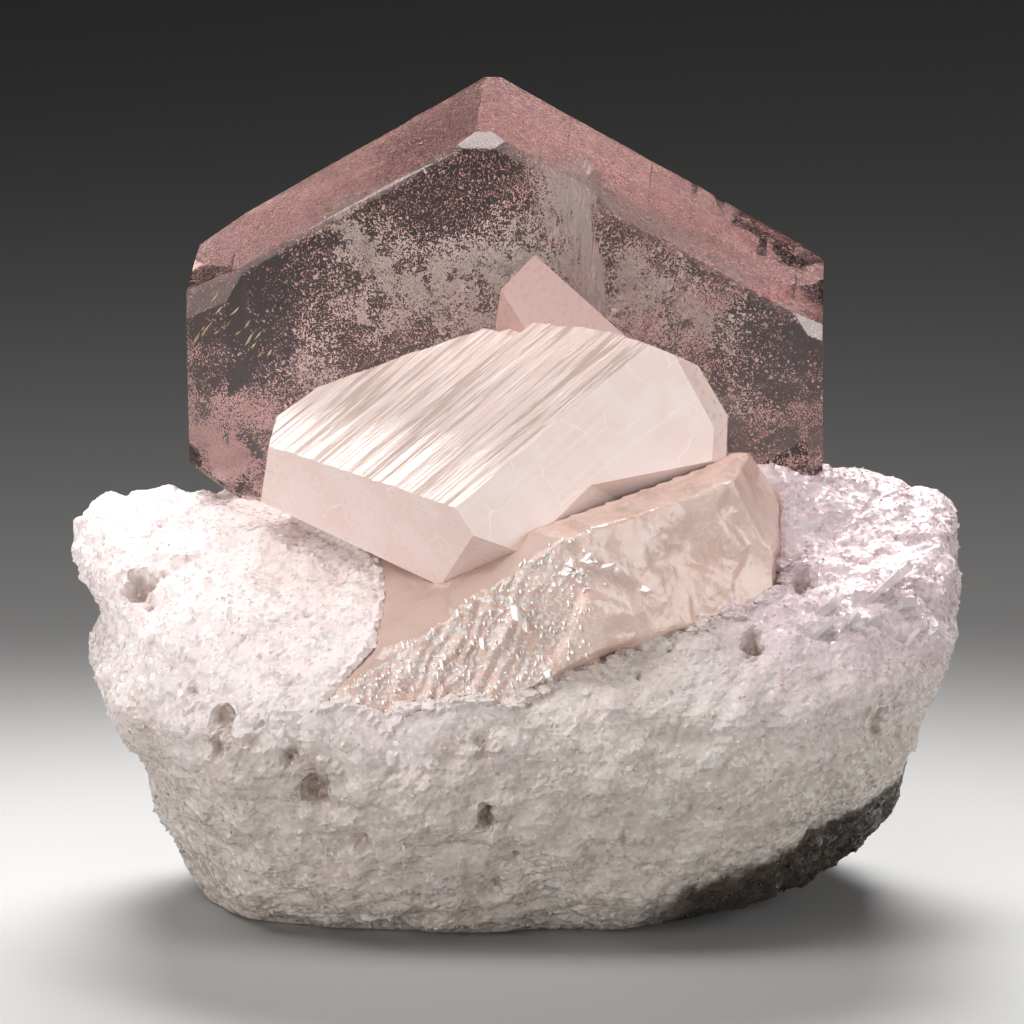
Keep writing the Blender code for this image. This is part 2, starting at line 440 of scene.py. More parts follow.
@dataclass
class Skin:
    """The points of a dense mesh, with what is needed to move them along its normals."""

    mesh: bpy.types.Mesh
    points: np.ndarray = field(init=False)
    normals: np.ndarray = field(init=False)
    edges: np.ndarray = field(init=False)

    def __post_init__(self) -> None:
        """Reads the points and edges."""
        count = len(self.mesh.vertices)
        flat = np.zeros(count * 3)
        self.mesh.vertices.foreach_get("co", flat)
        self.points = flat.reshape(-1, 3) / MM
        ends = np.zeros(len(self.mesh.edges) * 2, np.int32)
        self.mesh.edges.foreach_get("vertices", ends)
        self.edges = ends.reshape(-1, 2)
        self.read_normals()

    def read_normals(self) -> None:
        """Reads the normals of the mesh as it is."""
        flat = np.zeros(len(self.mesh.vertices) * 3)
        self.mesh.vertex_normals.foreach_get("vector", flat)
        self.normals = flat.reshape(-1, 3)

    def write(self) -> None:
        """Writes the points back to the mesh, and reads its new normals."""
        self.mesh.vertices.foreach_set("co", (self.points * MM).astype(np.float32).ravel())
        self.mesh.update()
        self.read_normals()

    def spread(self, values: np.ndarray, rounds: int) -> np.ndarray:
        """Averages values with their neighbours'.

        Args:
            values: One row for each point.
            rounds: How many times.

        Returns:
            The averaged values.
        """
        first, second = self.edges.T
        shape = (-1,) + (1,) * (values.ndim - 1)
        count = np.bincount(self.edges.ravel(), minlength=len(values)).reshape(shape)
        for _ in range(rounds):
            total = np.zeros_like(values)
            np.add.at(total, first, values[second])
            np.add.at(total, second, values[first])
            values = 0.5 * values + 0.5 * total / np.maximum(count, 1)
        return values

    def fractal(self, size: float | Triple, octaves: int = 3, shift: float = 0.0) -> np.ndarray:
        """Gives cloudy values between about -1 and 1 at the points. A shift moves the pattern."""
        return cloudy(self.points / np.array(size) + shift, octaves)

    def paint(self, name: str, values: np.ndarray) -> None:
        """Keeps one value for each point as a named attribute, for the finish to read."""
        self.mesh.attributes.new(name, "FLOAT", "POINT").data.foreach_set("value", values.astype(np.float32))

    def facets(self, size: float, steepness: float, random: np.random.Generator) -> np.ndarray:
        """Gives heights that make flat facets, each of its own tilt.

        Args:
            size: The size of a facet, in millimetres.
            steepness: How far a facet tilts, as a slope.
            random: Where the facets' places come from.

        Returns:
            One height for each point.
        """
        low, high = self.points.min(axis=0) - size, self.points.max(axis=0) + size
        cells = np.floor(self.points / size).astype(int)
        near = np.unique(cells, axis=0)
        near = near[((near * size >= low) & (near * size <= high)).all(axis=1)]
        seeds = (near + random.uniform(0, 1, near.shape)) * size
        slopes = random.normal(0, steepness, seeds.shape)
        lifts = random.normal(0, steepness * size * 0.4, len(seeds))
        tree = tree_of(seeds)
        nearest = np.array([tree.find(point)[1] for point in self.points])
        away = self.points - seeds[nearest]
        return lifts[nearest] + (away * slopes[nearest]).sum(axis=1)


# Finishes


class Surface:
    """One material's nodes, with the short steps that the finishes are made of. Sizes are in millimetres."""

    def __init__(self, name: str) -> None:
        """Starts the material.

        Args:
            name: The material's name.
        """
        material = bpy.data.materials.new(name)
        material.use_nodes = True
        self.tree = material.node_tree
        self.shader = self.tree.nodes["Principled BSDF"]
        self.output = self.tree.nodes["Material Output"]
        self.place = self.vector("SCALE", self.add("ShaderNodeTexCoord").outputs["Object"], scale=1 / MM)

    def add(self, kind: str, **settings: object) -> bpy.types.Node:
        """Adds a node.

        Args:
            kind: Its type.
            settings: Its properties.

        Returns:
            The node.
        """
        node = self.tree.nodes.new(kind)
        for setting, value in settings.items():
            setattr(node, setting, value)
        return node

    def give(self, socket: Socket, value: object) -> None:
        """Links a socket to another, or sets it to a plain value.

        Args:
            socket: The socket that takes the value.
            value: The other socket, or the value.
        """
        if isinstance(value, bpy.types.NodeSocket):
            self.tree.links.new(value, socket)
        elif isinstance(value, tuple) and len(value) == 3 and socket.type == "RGBA":
            socket.default_value = (*value, 1.0)
        else:
            socket.default_value = value

    def set(self, **values: object) -> None:
        """Sets the shader's own sockets, named with underscores for spaces."""
        for name, value in values.items():
            self.give(self.shader.inputs[name.replace("_", " ")], value)

    def vector(
        self,
        operation: str,
        first: Socket,
        second: Triple = (0.0, 0.0, 0.0),
        scale: float = 1.0,
        third: object = (0.0, 0.0, 0.0),
    ) -> Socket:
        """Does one vector step.

        Args:
            operation: The step.
            first: Its first vector.
            second: Its second vector.
            scale: Its number.
            third: Its third vector.

        Returns:
            The result.
        """
        node = self.add("ShaderNodeVectorMath", operation=operation)
        self.give(node.inputs[0], first)
        self.give(node.inputs[1], second)
        self.give(node.inputs[2], third)
        node.inputs[3].default_value = scale
        return node.outputs["Value" if operation == "DOT_PRODUCT" else "Vector"]

    def add_up(self, first: Socket, second: Socket, weight: float) -> Socket:
        """Adds a weighted value to another.

        Args:
            first: The value that counts in full.
            second: The one that is weighted.
            weight: Its weight.

        Returns:
            The sum.
        """
        node = self.add("ShaderNodeMath", operation="MULTIPLY_ADD")
        self.give(node.inputs[0], second)
        node.inputs[1].default_value = weight
        self.give(node.inputs[2], first)
        return node.outputs[0]

    def math(self, operation: str, first: object, second: object = 0.0) -> Socket:
        """Does one step of arithmetic, kept between 0 and 1.

        Args:
            operation: The step.
            first: Its first value.
            second: Its second value.

        Returns:
            The result.
        """
        node = self.add("ShaderNodeMath", operation=operation, use_clamp=True)
        self.give(node.inputs[0], first)
        self.give(node.inputs[1], second)
        return node.outputs[0]

    def noise(
        self, size: float, detail: float = 4.0, place: Socket | None = None, rough: float = 0.55
    ) -> Socket:
        """Gives cloudy values from 0 to 1.

        Args:
            size: The size of the lumps.
            detail: How many finer layers there are.
            place: The coordinates, or the part's own.
            rough: How much the finer layers count.

        Returns:
            The values.
        """
        node = self.add("ShaderNodeTexNoise")
        self.give(node.inputs["Vector"], place or self.place)
        node.inputs["Scale"].default_value = 1 / size
        node.inputs["Detail"].default_value = detail
        node.inputs["Roughness"].default_value = rough
        return node.outputs["Fac"]

    def warped(self, size: float, reach: float) -> Socket:
        """Gives coordinates that wander from their place.

        Args:
            size: The size of the lumps that they wander in.
            reach: How far they wander.

        Returns:
            The coordinates.
        """
        node = self.add("ShaderNodeTexNoise")
        self.give(node.inputs["Vector"], self.place)
        node.inputs["Scale"].default_value = 1 / size
        return self.vector("MULTIPLY_ADD", node.outputs["Color"], (reach, reach, reach), third=self.place)

    def cells(
        self, size: float, output: str = "Distance", place: Socket | None = None, feature: str = "F1"
    ) -> Socket:
        """Gives a cell pattern.

        Args:
            size: The size of a cell.
            output: Distance, or Color for one colour a cell.
            place: The coordinates, or the part's own.
            feature: What the distance is taken to.

        Returns:
            The pattern.
        """
        node = self.add("ShaderNodeTexVoronoi", feature=feature)
        self.give(node.inputs["Vector"], place or self.place)
        node.inputs["Scale"].default_value = 1 / size
        return node.outputs[output]

    def along(self, axis: Vector, size: float, across: float) -> Socket:
        """Gives coordinates for a pattern that is drawn out along a direction.

        Args:
            axis: The direction.
            size: The pattern's length along it.
            across: The pattern's size across it.

        Returns:
            Coordinates in which a pattern of size 1 has those sizes.
        """
        turned = self.add("ShaderNodeVectorRotate", rotation_type="EULER_XYZ", invert=True)
        self.give(turned.inputs["Vector"], self.place)
        turned.inputs["Rotation"].default_value = axis.to_track_quat("Z", "Y").to_euler()
        return self.vector("MULTIPLY", turned.outputs["Vector"], (1 / across, 1 / across, 1 / size))

    def part(self, axis: str) -> Socket:
        """Gives one coordinate.

        Args:
            axis: X, Y or Z.

        Returns:
            The coordinate.
        """
        node = self.add("ShaderNodeSeparateXYZ")
        self.give(node.inputs[0], self.place)
        return node.outputs[axis]

    def painted(self, name: str) -> Socket:
        """Gives the value that a mesh keeps under a name."""
        return self.add("ShaderNodeAttribute", attribute_name=name).outputs["Fac"]

    def facing(self, way: Triple, low: float, high: float) -> Socket:
        """Gives 1 on faces that face a way and 0 on the others, with the cosines where it changes."""
        normal = self.add("ShaderNodeTexCoord").outputs["Normal"]
        return self.range(self.vector("DOT_PRODUCT", normal, way), low, high)

    def range(self, value: Socket, low: float, high: float, start: float = 0.0, end: float = 1.0) -> Socket:
        """Maps values onto others, smoothly.

        Args:
            value: The values.
            low: The value that becomes start.
            high: The one that becomes end.
            start: What the low ones become.
            end: What the high ones become.

        Returns:
            The new values.
        """
        node = self.add("ShaderNodeMapRange", interpolation_type="SMOOTHSTEP")
        self.give(node.inputs["Value"], value)
        for name, bound in zip(("From Min", "From Max", "To Min", "To Max"), (low, high, start, end)):
            node.inputs[name].default_value = bound
        return node.outputs["Result"]

    def blend(self, share: object, first: object, second: object) -> Socket:
        """Mixes two colours.

        Args:
            share: How much of the second there is.
            first: The first colour.
            second: The second colour.

        Returns:
            The mixed colour.
        """
        node = self.add("ShaderNodeMix", data_type="RGBA")
        for socket, value in zip((node.inputs[0], node.inputs[6], node.inputs[7]), (share, first, second)):
            self.give(socket, value)
        return node.outputs[2]

    def bump(
        self, height: Socket, depth: float, strength: float = 1.0, under: Socket | None = None
    ) -> Socket:
        """Gives the normal of a relief.

        Args:
            height: The relief, from 0 to 1.
            depth: How deep it is.
            strength: How much it counts.
            under: The normal of a relief that it lies on.

        Returns:
            The normal.
        """
        node = self.add("ShaderNodeBump")
        self.give(node.inputs["Height"], height)
        node.inputs["Distance"].default_value = depth * MM
        node.inputs["Strength"].default_value = strength
        if under:
            self.give(node.inputs["Normal"], under)
        return node.outputs["Normal"]

    def absorb(self, colour: Triple, density: float) -> None:
        """Fills the inside with plain absorption.

        Args:
            colour: What passes.
            density: How strong it is, per metre.
        """
        node = self.add("ShaderNodeVolumeAbsorption")
        node.inputs["Color"].default_value = (*colour, 1.0)
        node.inputs["Density"].default_value = density
        self.give(self.output.inputs["Volume"], node.outputs["Volume"])


@dataclass(frozen=True)
class Finish:
    """What a piece looks like."""

    name: str

    def material(self) -> bpy.types.Material:
        """Gives the finish's material, made once.

        Returns:
            The material.
        """
        if self.name not in bpy.data.materials:
            self.dress(Surface(self.name))
        return bpy.data.materials[self.name]

    def dress(self, skin: Surface) -> None:
        """Gives the material its looks, which are plain unless a finish has its own."""


@dataclass(frozen=True)
class ClearBeryl(Finish):
    """Clear rose beryl with faint growth lines on its faces."""

    tint: Triple = (1.0, 0.965, 0.955)
    gloss: float = 0.015
    passed: Triple = (0.86, 0.50, 0.47)
    density: float = 13.0
    line_length: float = 22.0
    line_width: float = 0.9

    def dress(self, skin: Surface) -> None:
        """Gives the material its looks.

        Args:
            skin: The material.
        """
        skin.set(Base_Color=self.tint, Transmission_Weight=1.0, IOR=BERYL_IOR, Roughness=self.gloss)
        lines = skin.noise(1.0, 2.0, skin.along(Vector((1, 0, 0)), self.line_length, self.line_width))
        waves = skin.bump(skin.noise(7.0, 2.0), 0.10, 0.35)
        skin.set(Normal=skin.bump(lines, 0.02, 0.35, waves))
        skin.absorb(self.passed, self.density)


@dataclass(frozen=True)
class MilkyBeryl(Finish):
    """Peach beryl clouded by tubes and tiny cracks, with streaks along its axis on one face and painted shade
    on a few faces.
    """

    axis: Triple = (0.0, 0.0, 1.0)
    streaked: Triple = (0.0, 0.0, 1.0)
    light: Triple = (0.80, 0.635, 0.575)
    dark: Triple = (0.50, 0.365, 0.315)
    fine: Triple = (0.97, 0.86, 0.81)
    plain: Triple = (0.96, 0.78, 0.725)
    warm: Triple = (0.93, 0.72, 0.65)
    crack: Triple = (1.0, 0.95, 0.93)
    # Painted shade: a darker, redder pink painted on the faces that face the ways below.
    shaded: Triple = (0.55, 0.36, 0.32)
    deep: tuple[Triple, ...] = ()

    def cracks(self, skin: Surface) -> Socket:
        """Gives thin healed cracks, in patches.

        Args:
            skin: The material.

        Returns:
            How bright they are, from 0 to 1.
        """
        edges = skin.cells(6.5, "Distance", skin.warped(4.0, 3.0), "DISTANCE_TO_EDGE")
        lines = skin.range(edges, 0.0, 0.022, 1.0, 0.0)
        lines = skin.math("MULTIPLY", lines, skin.range(skin.noise(5.0, 2.0), 0.50, 0.62))
        return skin.math("MULTIPLY", lines, 0.8)

    def dress(self, skin: Surface) -> None:
        """Gives the material its looks.

        Args:
            skin: The material.
        """
        face = skin.facing(self.streaked, 0.62, 0.80)
        streaks = skin.noise(1.0, 3.0, skin.along(Vector(self.axis), 14.0, 0.75))
        fine = skin.noise(1.0, 4.0, skin.along(Vector(self.axis), 7.0, 0.22))
        lined = skin.blend(skin.range(streaks, 0.44, 0.60), self.light, self.dark)
        lined = skin.blend(skin.range(fine, 0.52, 0.66), lined, self.fine)
        plain = skin.blend(skin.range(skin.noise(5.0, 5.0), 0.42, 0.60), self.plain, self.warm)
        plain = skin.blend(self.cracks(skin), plain, self.crack)
        colour = skin.blend(skin.math("MULTIPLY", face, 0.85), plain, lined)
        # Painted shade on the faces that face these ways.
        for way in self.deep:
            colour = skin.blend(skin.facing(way, 0.975, 0.99), colour, self.shaded)
        skin.set(Base_Color=colour, IOR=BERYL_IOR, Roughness=skin.range(streaks, 0.3, 0.7, 0.26, 0.32))
        relief = skin.bump(skin.noise(14.0, 2.0), 0.5, 0.4)
        skin.set(Normal=skin.bump(skin.math("MULTIPLY", fine, face), 0.05, 0.7, relief))


@dataclass(frozen=True)
class BrokenBeryl(Finish):
    """Fractured peach beryl: cloudy and smooth, with a frosted face bearing painted glints, painted white
    sparkles all over, and painted brown shade on the face in the hollow.
    """

    frosted: Triple = (0.0, -1.0, 0.0)
    hollow: Triple = (0.0, 0.0, 1.0)
    pale: Triple = (0.89, 0.66, 0.57)
    warm: Triple = (0.84, 0.58, 0.485)
    # The brown of the painted shade on the face in the hollow.
    brown: Triple = (0.48, 0.345, 0.295)
    # The white of the painted sparkles.
    speck: Triple = (1.0, 0.96, 0.94)

    def dress(self, skin: Surface) -> None:
        """Gives the material its looks.

        Args:
            skin: The material.
        """
        colour = skin.blend(skin.range(skin.noise(6.0, 4.0), 0.38, 0.62), self.pale, self.warm)
        frost = skin.math("MULTIPLY", skin.facing(self.frosted, 0.70, 0.86), skin.painted("frost"))
        # Painted glints: white is painted on the frosted face where this noise peaks; the same noise also
        # lowers the roughness there.
        glints = skin.range(skin.noise(0.45, 4.0), 0.47, 0.60)
        colour = skin.blend(skin.math("MULTIPLY", frost, glints), colour, WHITE)
        # Painted sparkles: white specks are painted in patches all over the crystal.
        specks = skin.range(skin.cells(0.55), 0.05, 0.16, 1.0, 0.0)
        specks = skin.math("MULTIPLY", specks, skin.range(skin.noise(3.0, 3.0), 0.48, 0.6))
        colour = skin.blend(skin.math("MULTIPLY", specks, 0.6), colour, self.speck)
        # Painted shade: the face in the hollow is darkened to brown.
        shaded_hollow = skin.facing(self.hollow, 0.80, 0.92)
        colour = skin.blend(skin.math("MULTIPLY", shaded_hollow, 0.65), colour, self.brown)
        skin.set(Base_Color=colour, IOR=BERYL_IOR)
        skin.set(Roughness=skin.range(glints, 0.0, 1.0, 0.24, 0.10))
        relief = skin.bump(skin.noise(4.5, 2.0), 0.12, 0.4)
        skin.set(Normal=skin.bump(skin.math("MULTIPLY", glints, frost), 0.06, 0.7, relief))


@dataclass(frozen=True)
class BrightFlake(Finish):
    """Glassy flakes of beryl that flash white where they catch the light."""

    light: Triple = (0.97, 0.90, 0.86)
    dark: Triple = (0.93, 0.80, 0.74)

    def dress(self, skin: Surface) -> None:
        """Gives the material its looks.

        Args:
            skin: The material.
        """
        tone = skin.blend(skin.noise(0.8, 3.0), self.light, self.dark)
        skin.set(Base_Color=tone, Roughness=0.18, IOR=BERYL_IOR)
        skin.set(Normal=skin.bump(skin.noise(0.5, 3.0), 0.05, 0.4))


@dataclass(frozen=True)
class ClearBlade(Finish):
    """The clear blades on the right of the rock."""

    light: Triple = (0.96, 0.91, 0.91)
    dark: Triple = (0.88, 0.80, 0.81)

    def dress(self, skin: Surface) -> None:
        """Gives the material its looks.

        Args:
            skin: The material.
        """
        tone = skin.blend(skin.noise(1.5, 3.0), self.light, self.dark)
        skin.set(Base_Color=tone, Transmission_Weight=0.45, Roughness=0.10, IOR=1.54)
        skin.set(Normal=skin.bump(skin.noise(0.9, 3.0), 0.08, 0.5))


@dataclass(frozen=True)
class Frost(Finish):
    """White films, flakes and bubbles inside a crystal."""

    colour: Triple = (0.93, 0.86, 0.83)
    roughness: float = 0.35

    def dress(self, skin: Surface) -> None:
        """Gives the material its looks."""
        tone = skin.blend(skin.noise(2.5, 3.0), self.colour, tuple(0.82 * part for part in self.colour))
        skin.set(Base_Color=tone, Roughness=self.roughness, IOR=1.45)


DUSTY_PINK = Frost("dusty pink frost", (0.98, 0.76, 0.73))


@dataclass(frozen=True)
class SugaryRock(Finish):
    """Granular white rock: paler and pinkish above, the pink a painted reflection of the crystals and the
    paleness partly painted light from above; greyer in front, lilac on the right, with painted shade on its
    left flank and near-black painted shade with brown iron staining under the right side.
    """

    grain: float = 0.5
    tilt: float = 0.62
    # Pale pink above and grey lower down: the pink tint is a painted reflection of the crystals, and the pale
    # top over the grey foot is partly painted light from above.
    pale: tuple[Triple, Triple] = ((0.96, 0.845, 0.83), (0.91, 0.765, 0.745))
    grey: tuple[Triple, Triple] = ((0.62, 0.525, 0.46), (0.52, 0.425, 0.375))
    lilac: tuple[Triple, Triple] = ((0.76, 0.60, 0.625), (0.66, 0.50, 0.53))
    # Near-black browns of the painted shade under the right side, tinted by iron staining.
    brown: tuple[Triple, Triple] = ((0.014, 0.009, 0.005), (0.07, 0.047, 0.03))
    layer: Triple = (0.74, 0.655, 0.60)
    middle: Triple = (0.62, 0.545, 0.475)
    # The colour of the painted shade on the left flank.
    side: Triple = (0.42, 0.375, 0.33)
    rust: Triple = (0.62, 0.49, 0.40)
    hollow: Triple = (0.40, 0.29, 0.235)
    sugar: Triple = (1.0, 0.975, 0.965)
    # The way that the left flank with painted shade faces.
    shaded_flank_way: Triple = (-0.89, 0.0, -0.45)
    # The slant below which the underside gets painted shade.
    under_shade_way: Triple = (0.343, 0.12, -1.0)

    def tone(self, skin: Surface) -> Socket:
        """Gives the rock's colour from place to place, with its painted light and shade, before its pits.

        Args:
            skin: The material.

        Returns:
            The colour.
        """
        wander = skin.noise(11.0, 4.0)
        height = skin.part("Z")
        across = skin.part("X")
        patches = skin.range(skin.noise(4.5, 5.0), 0.40, 0.62)
        flat = skin.vector("MULTIPLY", skin.place, (0.16, 0.16, 0.55))
        layers = skin.range(skin.noise(1.0, 4.0, flat), 0.42, 0.62)
        pale = skin.blend(patches, *self.pale)
        grey = skin.blend(patches, *self.grey)
        grey = skin.blend(skin.math("MULTIPLY", layers, 0.45), grey, self.layer)
        lilac = skin.blend(patches, *self.lilac)
        # Painted light: pale pink toward the top, grey lower down, blended by height with a wandering edge.
        rise = skin.add_up(height, wander, 22.0)
        colour = skin.blend(skin.range(rise, 28.0, 44.0), grey, pale)
        middle = skin.math("MULTIPLY", skin.range(across, -10.0, 4.0), skin.range(height, 44.0, 34.0))
        colour = skin.blend(skin.math("MULTIPLY", middle, 0.6), colour, self.middle)
        right = skin.math("MULTIPLY", skin.range(across, 14.0, 30.0), skin.range(height, 22.0, 38.0))
        colour = skin.blend(right, colour, lilac)
        # Painted shade: the left flank, turned away from the light, is darkened.
        side = skin.range(skin.vector("DOT_PRODUCT", skin.place, self.shaded_flank_way), 28.0, 31.5)
        return skin.blend(skin.math("MULTIPLY", side, 0.55), colour, self.side)

    def painted_under_shade(self, skin: Surface, colour: Socket) -> Socket:
        """Adds the near-black painted shade under the right side, with a brown tint of iron staining.

        Args:
            skin: The material.
            colour: The colour without it.

        Returns:
            The colour with it.
        """
        under = skin.vector("DOT_PRODUCT", skin.place, self.under_shade_way)
        # Painted shade under the overhang, with a brown tint of iron staining, below a slanting line on the
        # right side.
        shade_and_stain = skin.range(skin.add_up(under, skin.noise(3.5, 6.0, rough=0.7), 7.0), -1.4, 1.0)
        shade_and_stain = skin.math("MULTIPLY", shade_and_stain, skin.range(skin.part("X"), 8.0, 20.0))
        brown = skin.blend(skin.noise(1.2, 4.0), *self.brown)
        return skin.blend(skin.math("MULTIPLY", shade_and_stain, 0.97), colour, brown)

    def dress(self, skin: Surface) -> None:
        """Gives the material its looks.

        Args:
            skin: The material.
        """
        rust = skin.math("MULTIPLY", skin.range(skin.noise(2.6, 5.0), 0.61, 0.72), 0.4)
        colour = skin.blend(rust, self.tone(skin), self.rust)
        pit = skin.range(skin.painted("pit"), 0.15, 0.95)
        colour = skin.blend(skin.math("MULTIPLY", pit, 0.85), colour, self.hollow)
        sugar = skin.add("ShaderNodeSeparateColor")
        skin.give(sugar.inputs[0], skin.cells(self.grain, "Color"))
        colour = skin.blend(skin.range(sugar.outputs[0], 0.35, 1.0, 0.0, 0.42), colour, self.sugar)
        skin.set(Base_Color=self.painted_under_shade(skin, colour), IOR=1.53)
        skin.set(Roughness=skin.range(sugar.outputs[1], 0.66, 0.90, 0.5, 0.13))
        relief = skin.bump(skin.noise(0.9, 5.0), 0.15, 0.7)
        lean = skin.vector("SUBTRACT", skin.cells(self.grain, "Color"), HALF)
        tilted = skin.vector("MULTIPLY_ADD", lean, (self.tilt, self.tilt, self.tilt), third=relief)
        skin.set(Normal=skin.vector("NORMALIZE", tilted))


LOOSE_GRAINS = SugaryRock("loose white grains")


@dataclass(frozen=True)
class PaleCard(Finish):
    """The plain pale paper that the specimen stands on."""

    colour: Triple = (0.42, 0.415, 0.41)

    def dress(self, skin: Surface) -> None:
        """Gives the material its looks."""
        tone = skin.blend(skin.noise(60.0, 2.0), self.colour, tuple(0.985 * part for part in self.colour))
        skin.set(Base_Color=tone, Roughness=0.7)


# The specimen


@dataclass
class BackCrystal:
    """The tabular crystal: two growths side by side, with veils and glittering films inside."""

    centre: Triple = (-1.154, 17.132, 63.6)
    axis: tuple[float, float] = (-92.2, -4.0)
    turn: float = 0.5
    half_thickness: float = 13.3
    second_step: float = 4.0
    shared: tuple[tuple[Tilt, float, float], ...] = (
        (Tilt.PRISM, 0, 35.3),
        (Tilt.PRISM, 1, 18.9),
        (Tilt.PRISM, 2, 20.6),
        (Tilt.PRISM, 3, 34.8),
        (Tilt.PRISM, 4, 31.0),
        (Tilt.PRISM, 5, 31.0),
        (Tilt.PRISM, 1.5, 22.3),
    )
    main_faces: tuple[tuple[Tilt, float, float], ...] = (
        (Tilt.PYRAMID, 1, 20.4),
        (Tilt.PYRAMID, 2, 21.5),
        (Tilt.PYRAMID, 3, 26.6),
        (Tilt.CORNER, 1.5, 24.1),
        (Tilt.CORNER, 2.5, 29.1),
    )
    second_faces: tuple[tuple[Tilt, float, float], ...] = (
        (Tilt.PYRAMID, 0, 31.8),
        (Tilt.CORNER, 0.5, 33.1),
    )
    rim: tuple[Triple, ...] = ((164.2, 53.6, 24.8), (17.1, 53.9, 23.9))
    suture: Triple = (177.0, 5.0, -9.5)
    veils: tuple[Row, ...] = (
        (-15.5, 9.0, 6.0, 5.0, 2.6, 3600),
        (-10.5, 5.0, 7.0, 7.5, 3.4, 6600),
        (-3.5, 6.0, 8.0, 8.0, 3.8, 7600),
        (3.0, 7.5, 9.0, 6.0, 6.0, 7400),
        (7.0, 12.0, 9.0, 4.0, 7.5, 5200),
        (-15.0, 0.0, 5.0, 6.5, 3.0, 2600),
        (-20.5, -5.0, 4.0, 4.0, 4.5, 2000),
        (-1.0, 1.0, 7.0, 14.0, 4.5, 9000),
        (14.5, 5.0, 8.0, 7.0, 4.6, 6500),
        (20.0, 1.0, 7.0, 7.0, 4.0, 3600),
        (25.0, -6.0, 5.0, 6.0, 7.0, 1800),
    )
    ridges: int = 9
    ridge_height: float = 0.06
    ridge_rise: tuple[float, float] = (0.8, 0.95)
    ridge_span: tuple[float, float] = (0.04, 0.96)
    cover: float = 0.25
    lace: float = 0.1
    stipples: int = 52000
    stipple_tries: int = 4
    stipple_plane: float = -12.95
    stipple_right: tuple[float, float] = (-29.0, 32.0)
    stipple_up: tuple[float, float] = (-24.0, 22.0)
    stipple_cover: float = 0.55
    stipple_loss: float = 0.42
    stipple_core: float = 16.0
    stipple_rim: float = 12.0
    cloud_tries: int = 3
    cloud_depth: float = 2.2
    cloud_lean: float = 0.35
    clouds: tuple[Row, ...] = (
        (-30.0, -15.0, 4.0, 8.0, 9.0, 21000),
        (-34.0, -6.0, 2.0, 3.0, 10.0, 2500),
        (-30.5, -17.0, 8.0, 8.0, 6.0, 11000),
        (-33.0, -12.0, 10.0, 3.0, 9.0, 3500),
        (20.0, 1.0, 0.0, 10.0, 7.0, 9000),
        (31.0, -13.0, 2.0, 5.0, 7.0, 4500),
        (12.0, 4.0, 2.0, 8.0, 6.0, 6500),
        (8.0, 14.0, 2.0, 8.0, 5.0, 4000),
    )
    band_grains: int = 26000
    band_tries: int = 60
    band_rise: float = 0.3
    band_depth: float = 1.2
    grain_room: tuple[Triple, Triple] = ((-36.0, -22.0, -13.0), (36.0, 26.0, 18.0))
    threads: int = 1500
    thread_right: float = 10.4
    thread_up: tuple[float, float] = (1.0, 20.0)
    thread_forward: tuple[float, float] = (2.0, 12.6)
    sparks: int = 700
    spark_room: tuple[Triple, Triple] = ((-32.0, -20.0, -12.0), (32.0, 25.0, 16.0))
    splinters: tuple[Triple, ...] = ((-28.7, -1.7, 4.0), (-31.5, -1.7, 2.0), (-27.0, -3.5, 5.0))
    splinter_count: int = 14
    splinter_run: Triple = (0.55, 0.0, 0.83)
    seed: int = 5

    def main(self) -> Growth:
        """Gives the wider growth."""
        growth = Growth(self.centre, self.axis, self.turn).ends(self.half_thickness, self.half_thickness)
        return growth.forms(self.shared + self.main_faces).cuts(self.rim)

    def second(self) -> Growth:
        """Gives the growth on the right, which stands forward by a step.

        Returns:
            The growth.
        """
        growth = Growth(self.centre, self.axis, self.turn)
        growth.ends(self.half_thickness + self.second_step, self.half_thickness)
        return growth.forms(self.shared + self.second_faces).cuts((*self.rim, self.suture))

    def growths(self) -> tuple[Growth, Growth]:
        """Gives both growths."""
        return self.main(), self.second()

    def build_body(self) -> None:
        """Makes the clear body, with low ridges on its upper faces."""
        random = np.random.default_rng(self.seed)
        main, second = self.growths()
        bodies = [growth.body() for growth in (main, second)]
        low, high = self.ridge_rise
        for growth, body in zip((main, second), bodies):
            for number, (normal, _) in enumerate(growth.faces):
                if abs(normal.dot(main.axes()[0])) < NEAR and low < normal.z < high:
                    shares = np.sort(random.uniform(*self.ridge_span, self.ridges))
                    growth.ridge(body, number, shares, random.normal(0, self.ridge_height, self.ridges))
        mesh = combined(mesh_of(bodies[0]), ("UNION", mesh_of(bodies[1])))
        Piece("back_crystal", Slot.BERYL, ("crystals",)).place(mesh, ClearBeryl("clear rose beryl"))

    def inside(self, rows: np.ndarray) -> np.ndarray:
        """Turns places into points, and keeps those well inside the crystal.

        Args:
            rows: Places to the right, up and forward from the centre.

        Returns:
            The points, in rows of millimetres.
        """
        along, level, upright = self.main().axes()
        points = np.array(self.centre) + rows @ np.array([level, upright, along])
        return points[clearance(self.growths(), points) < -self.cover]

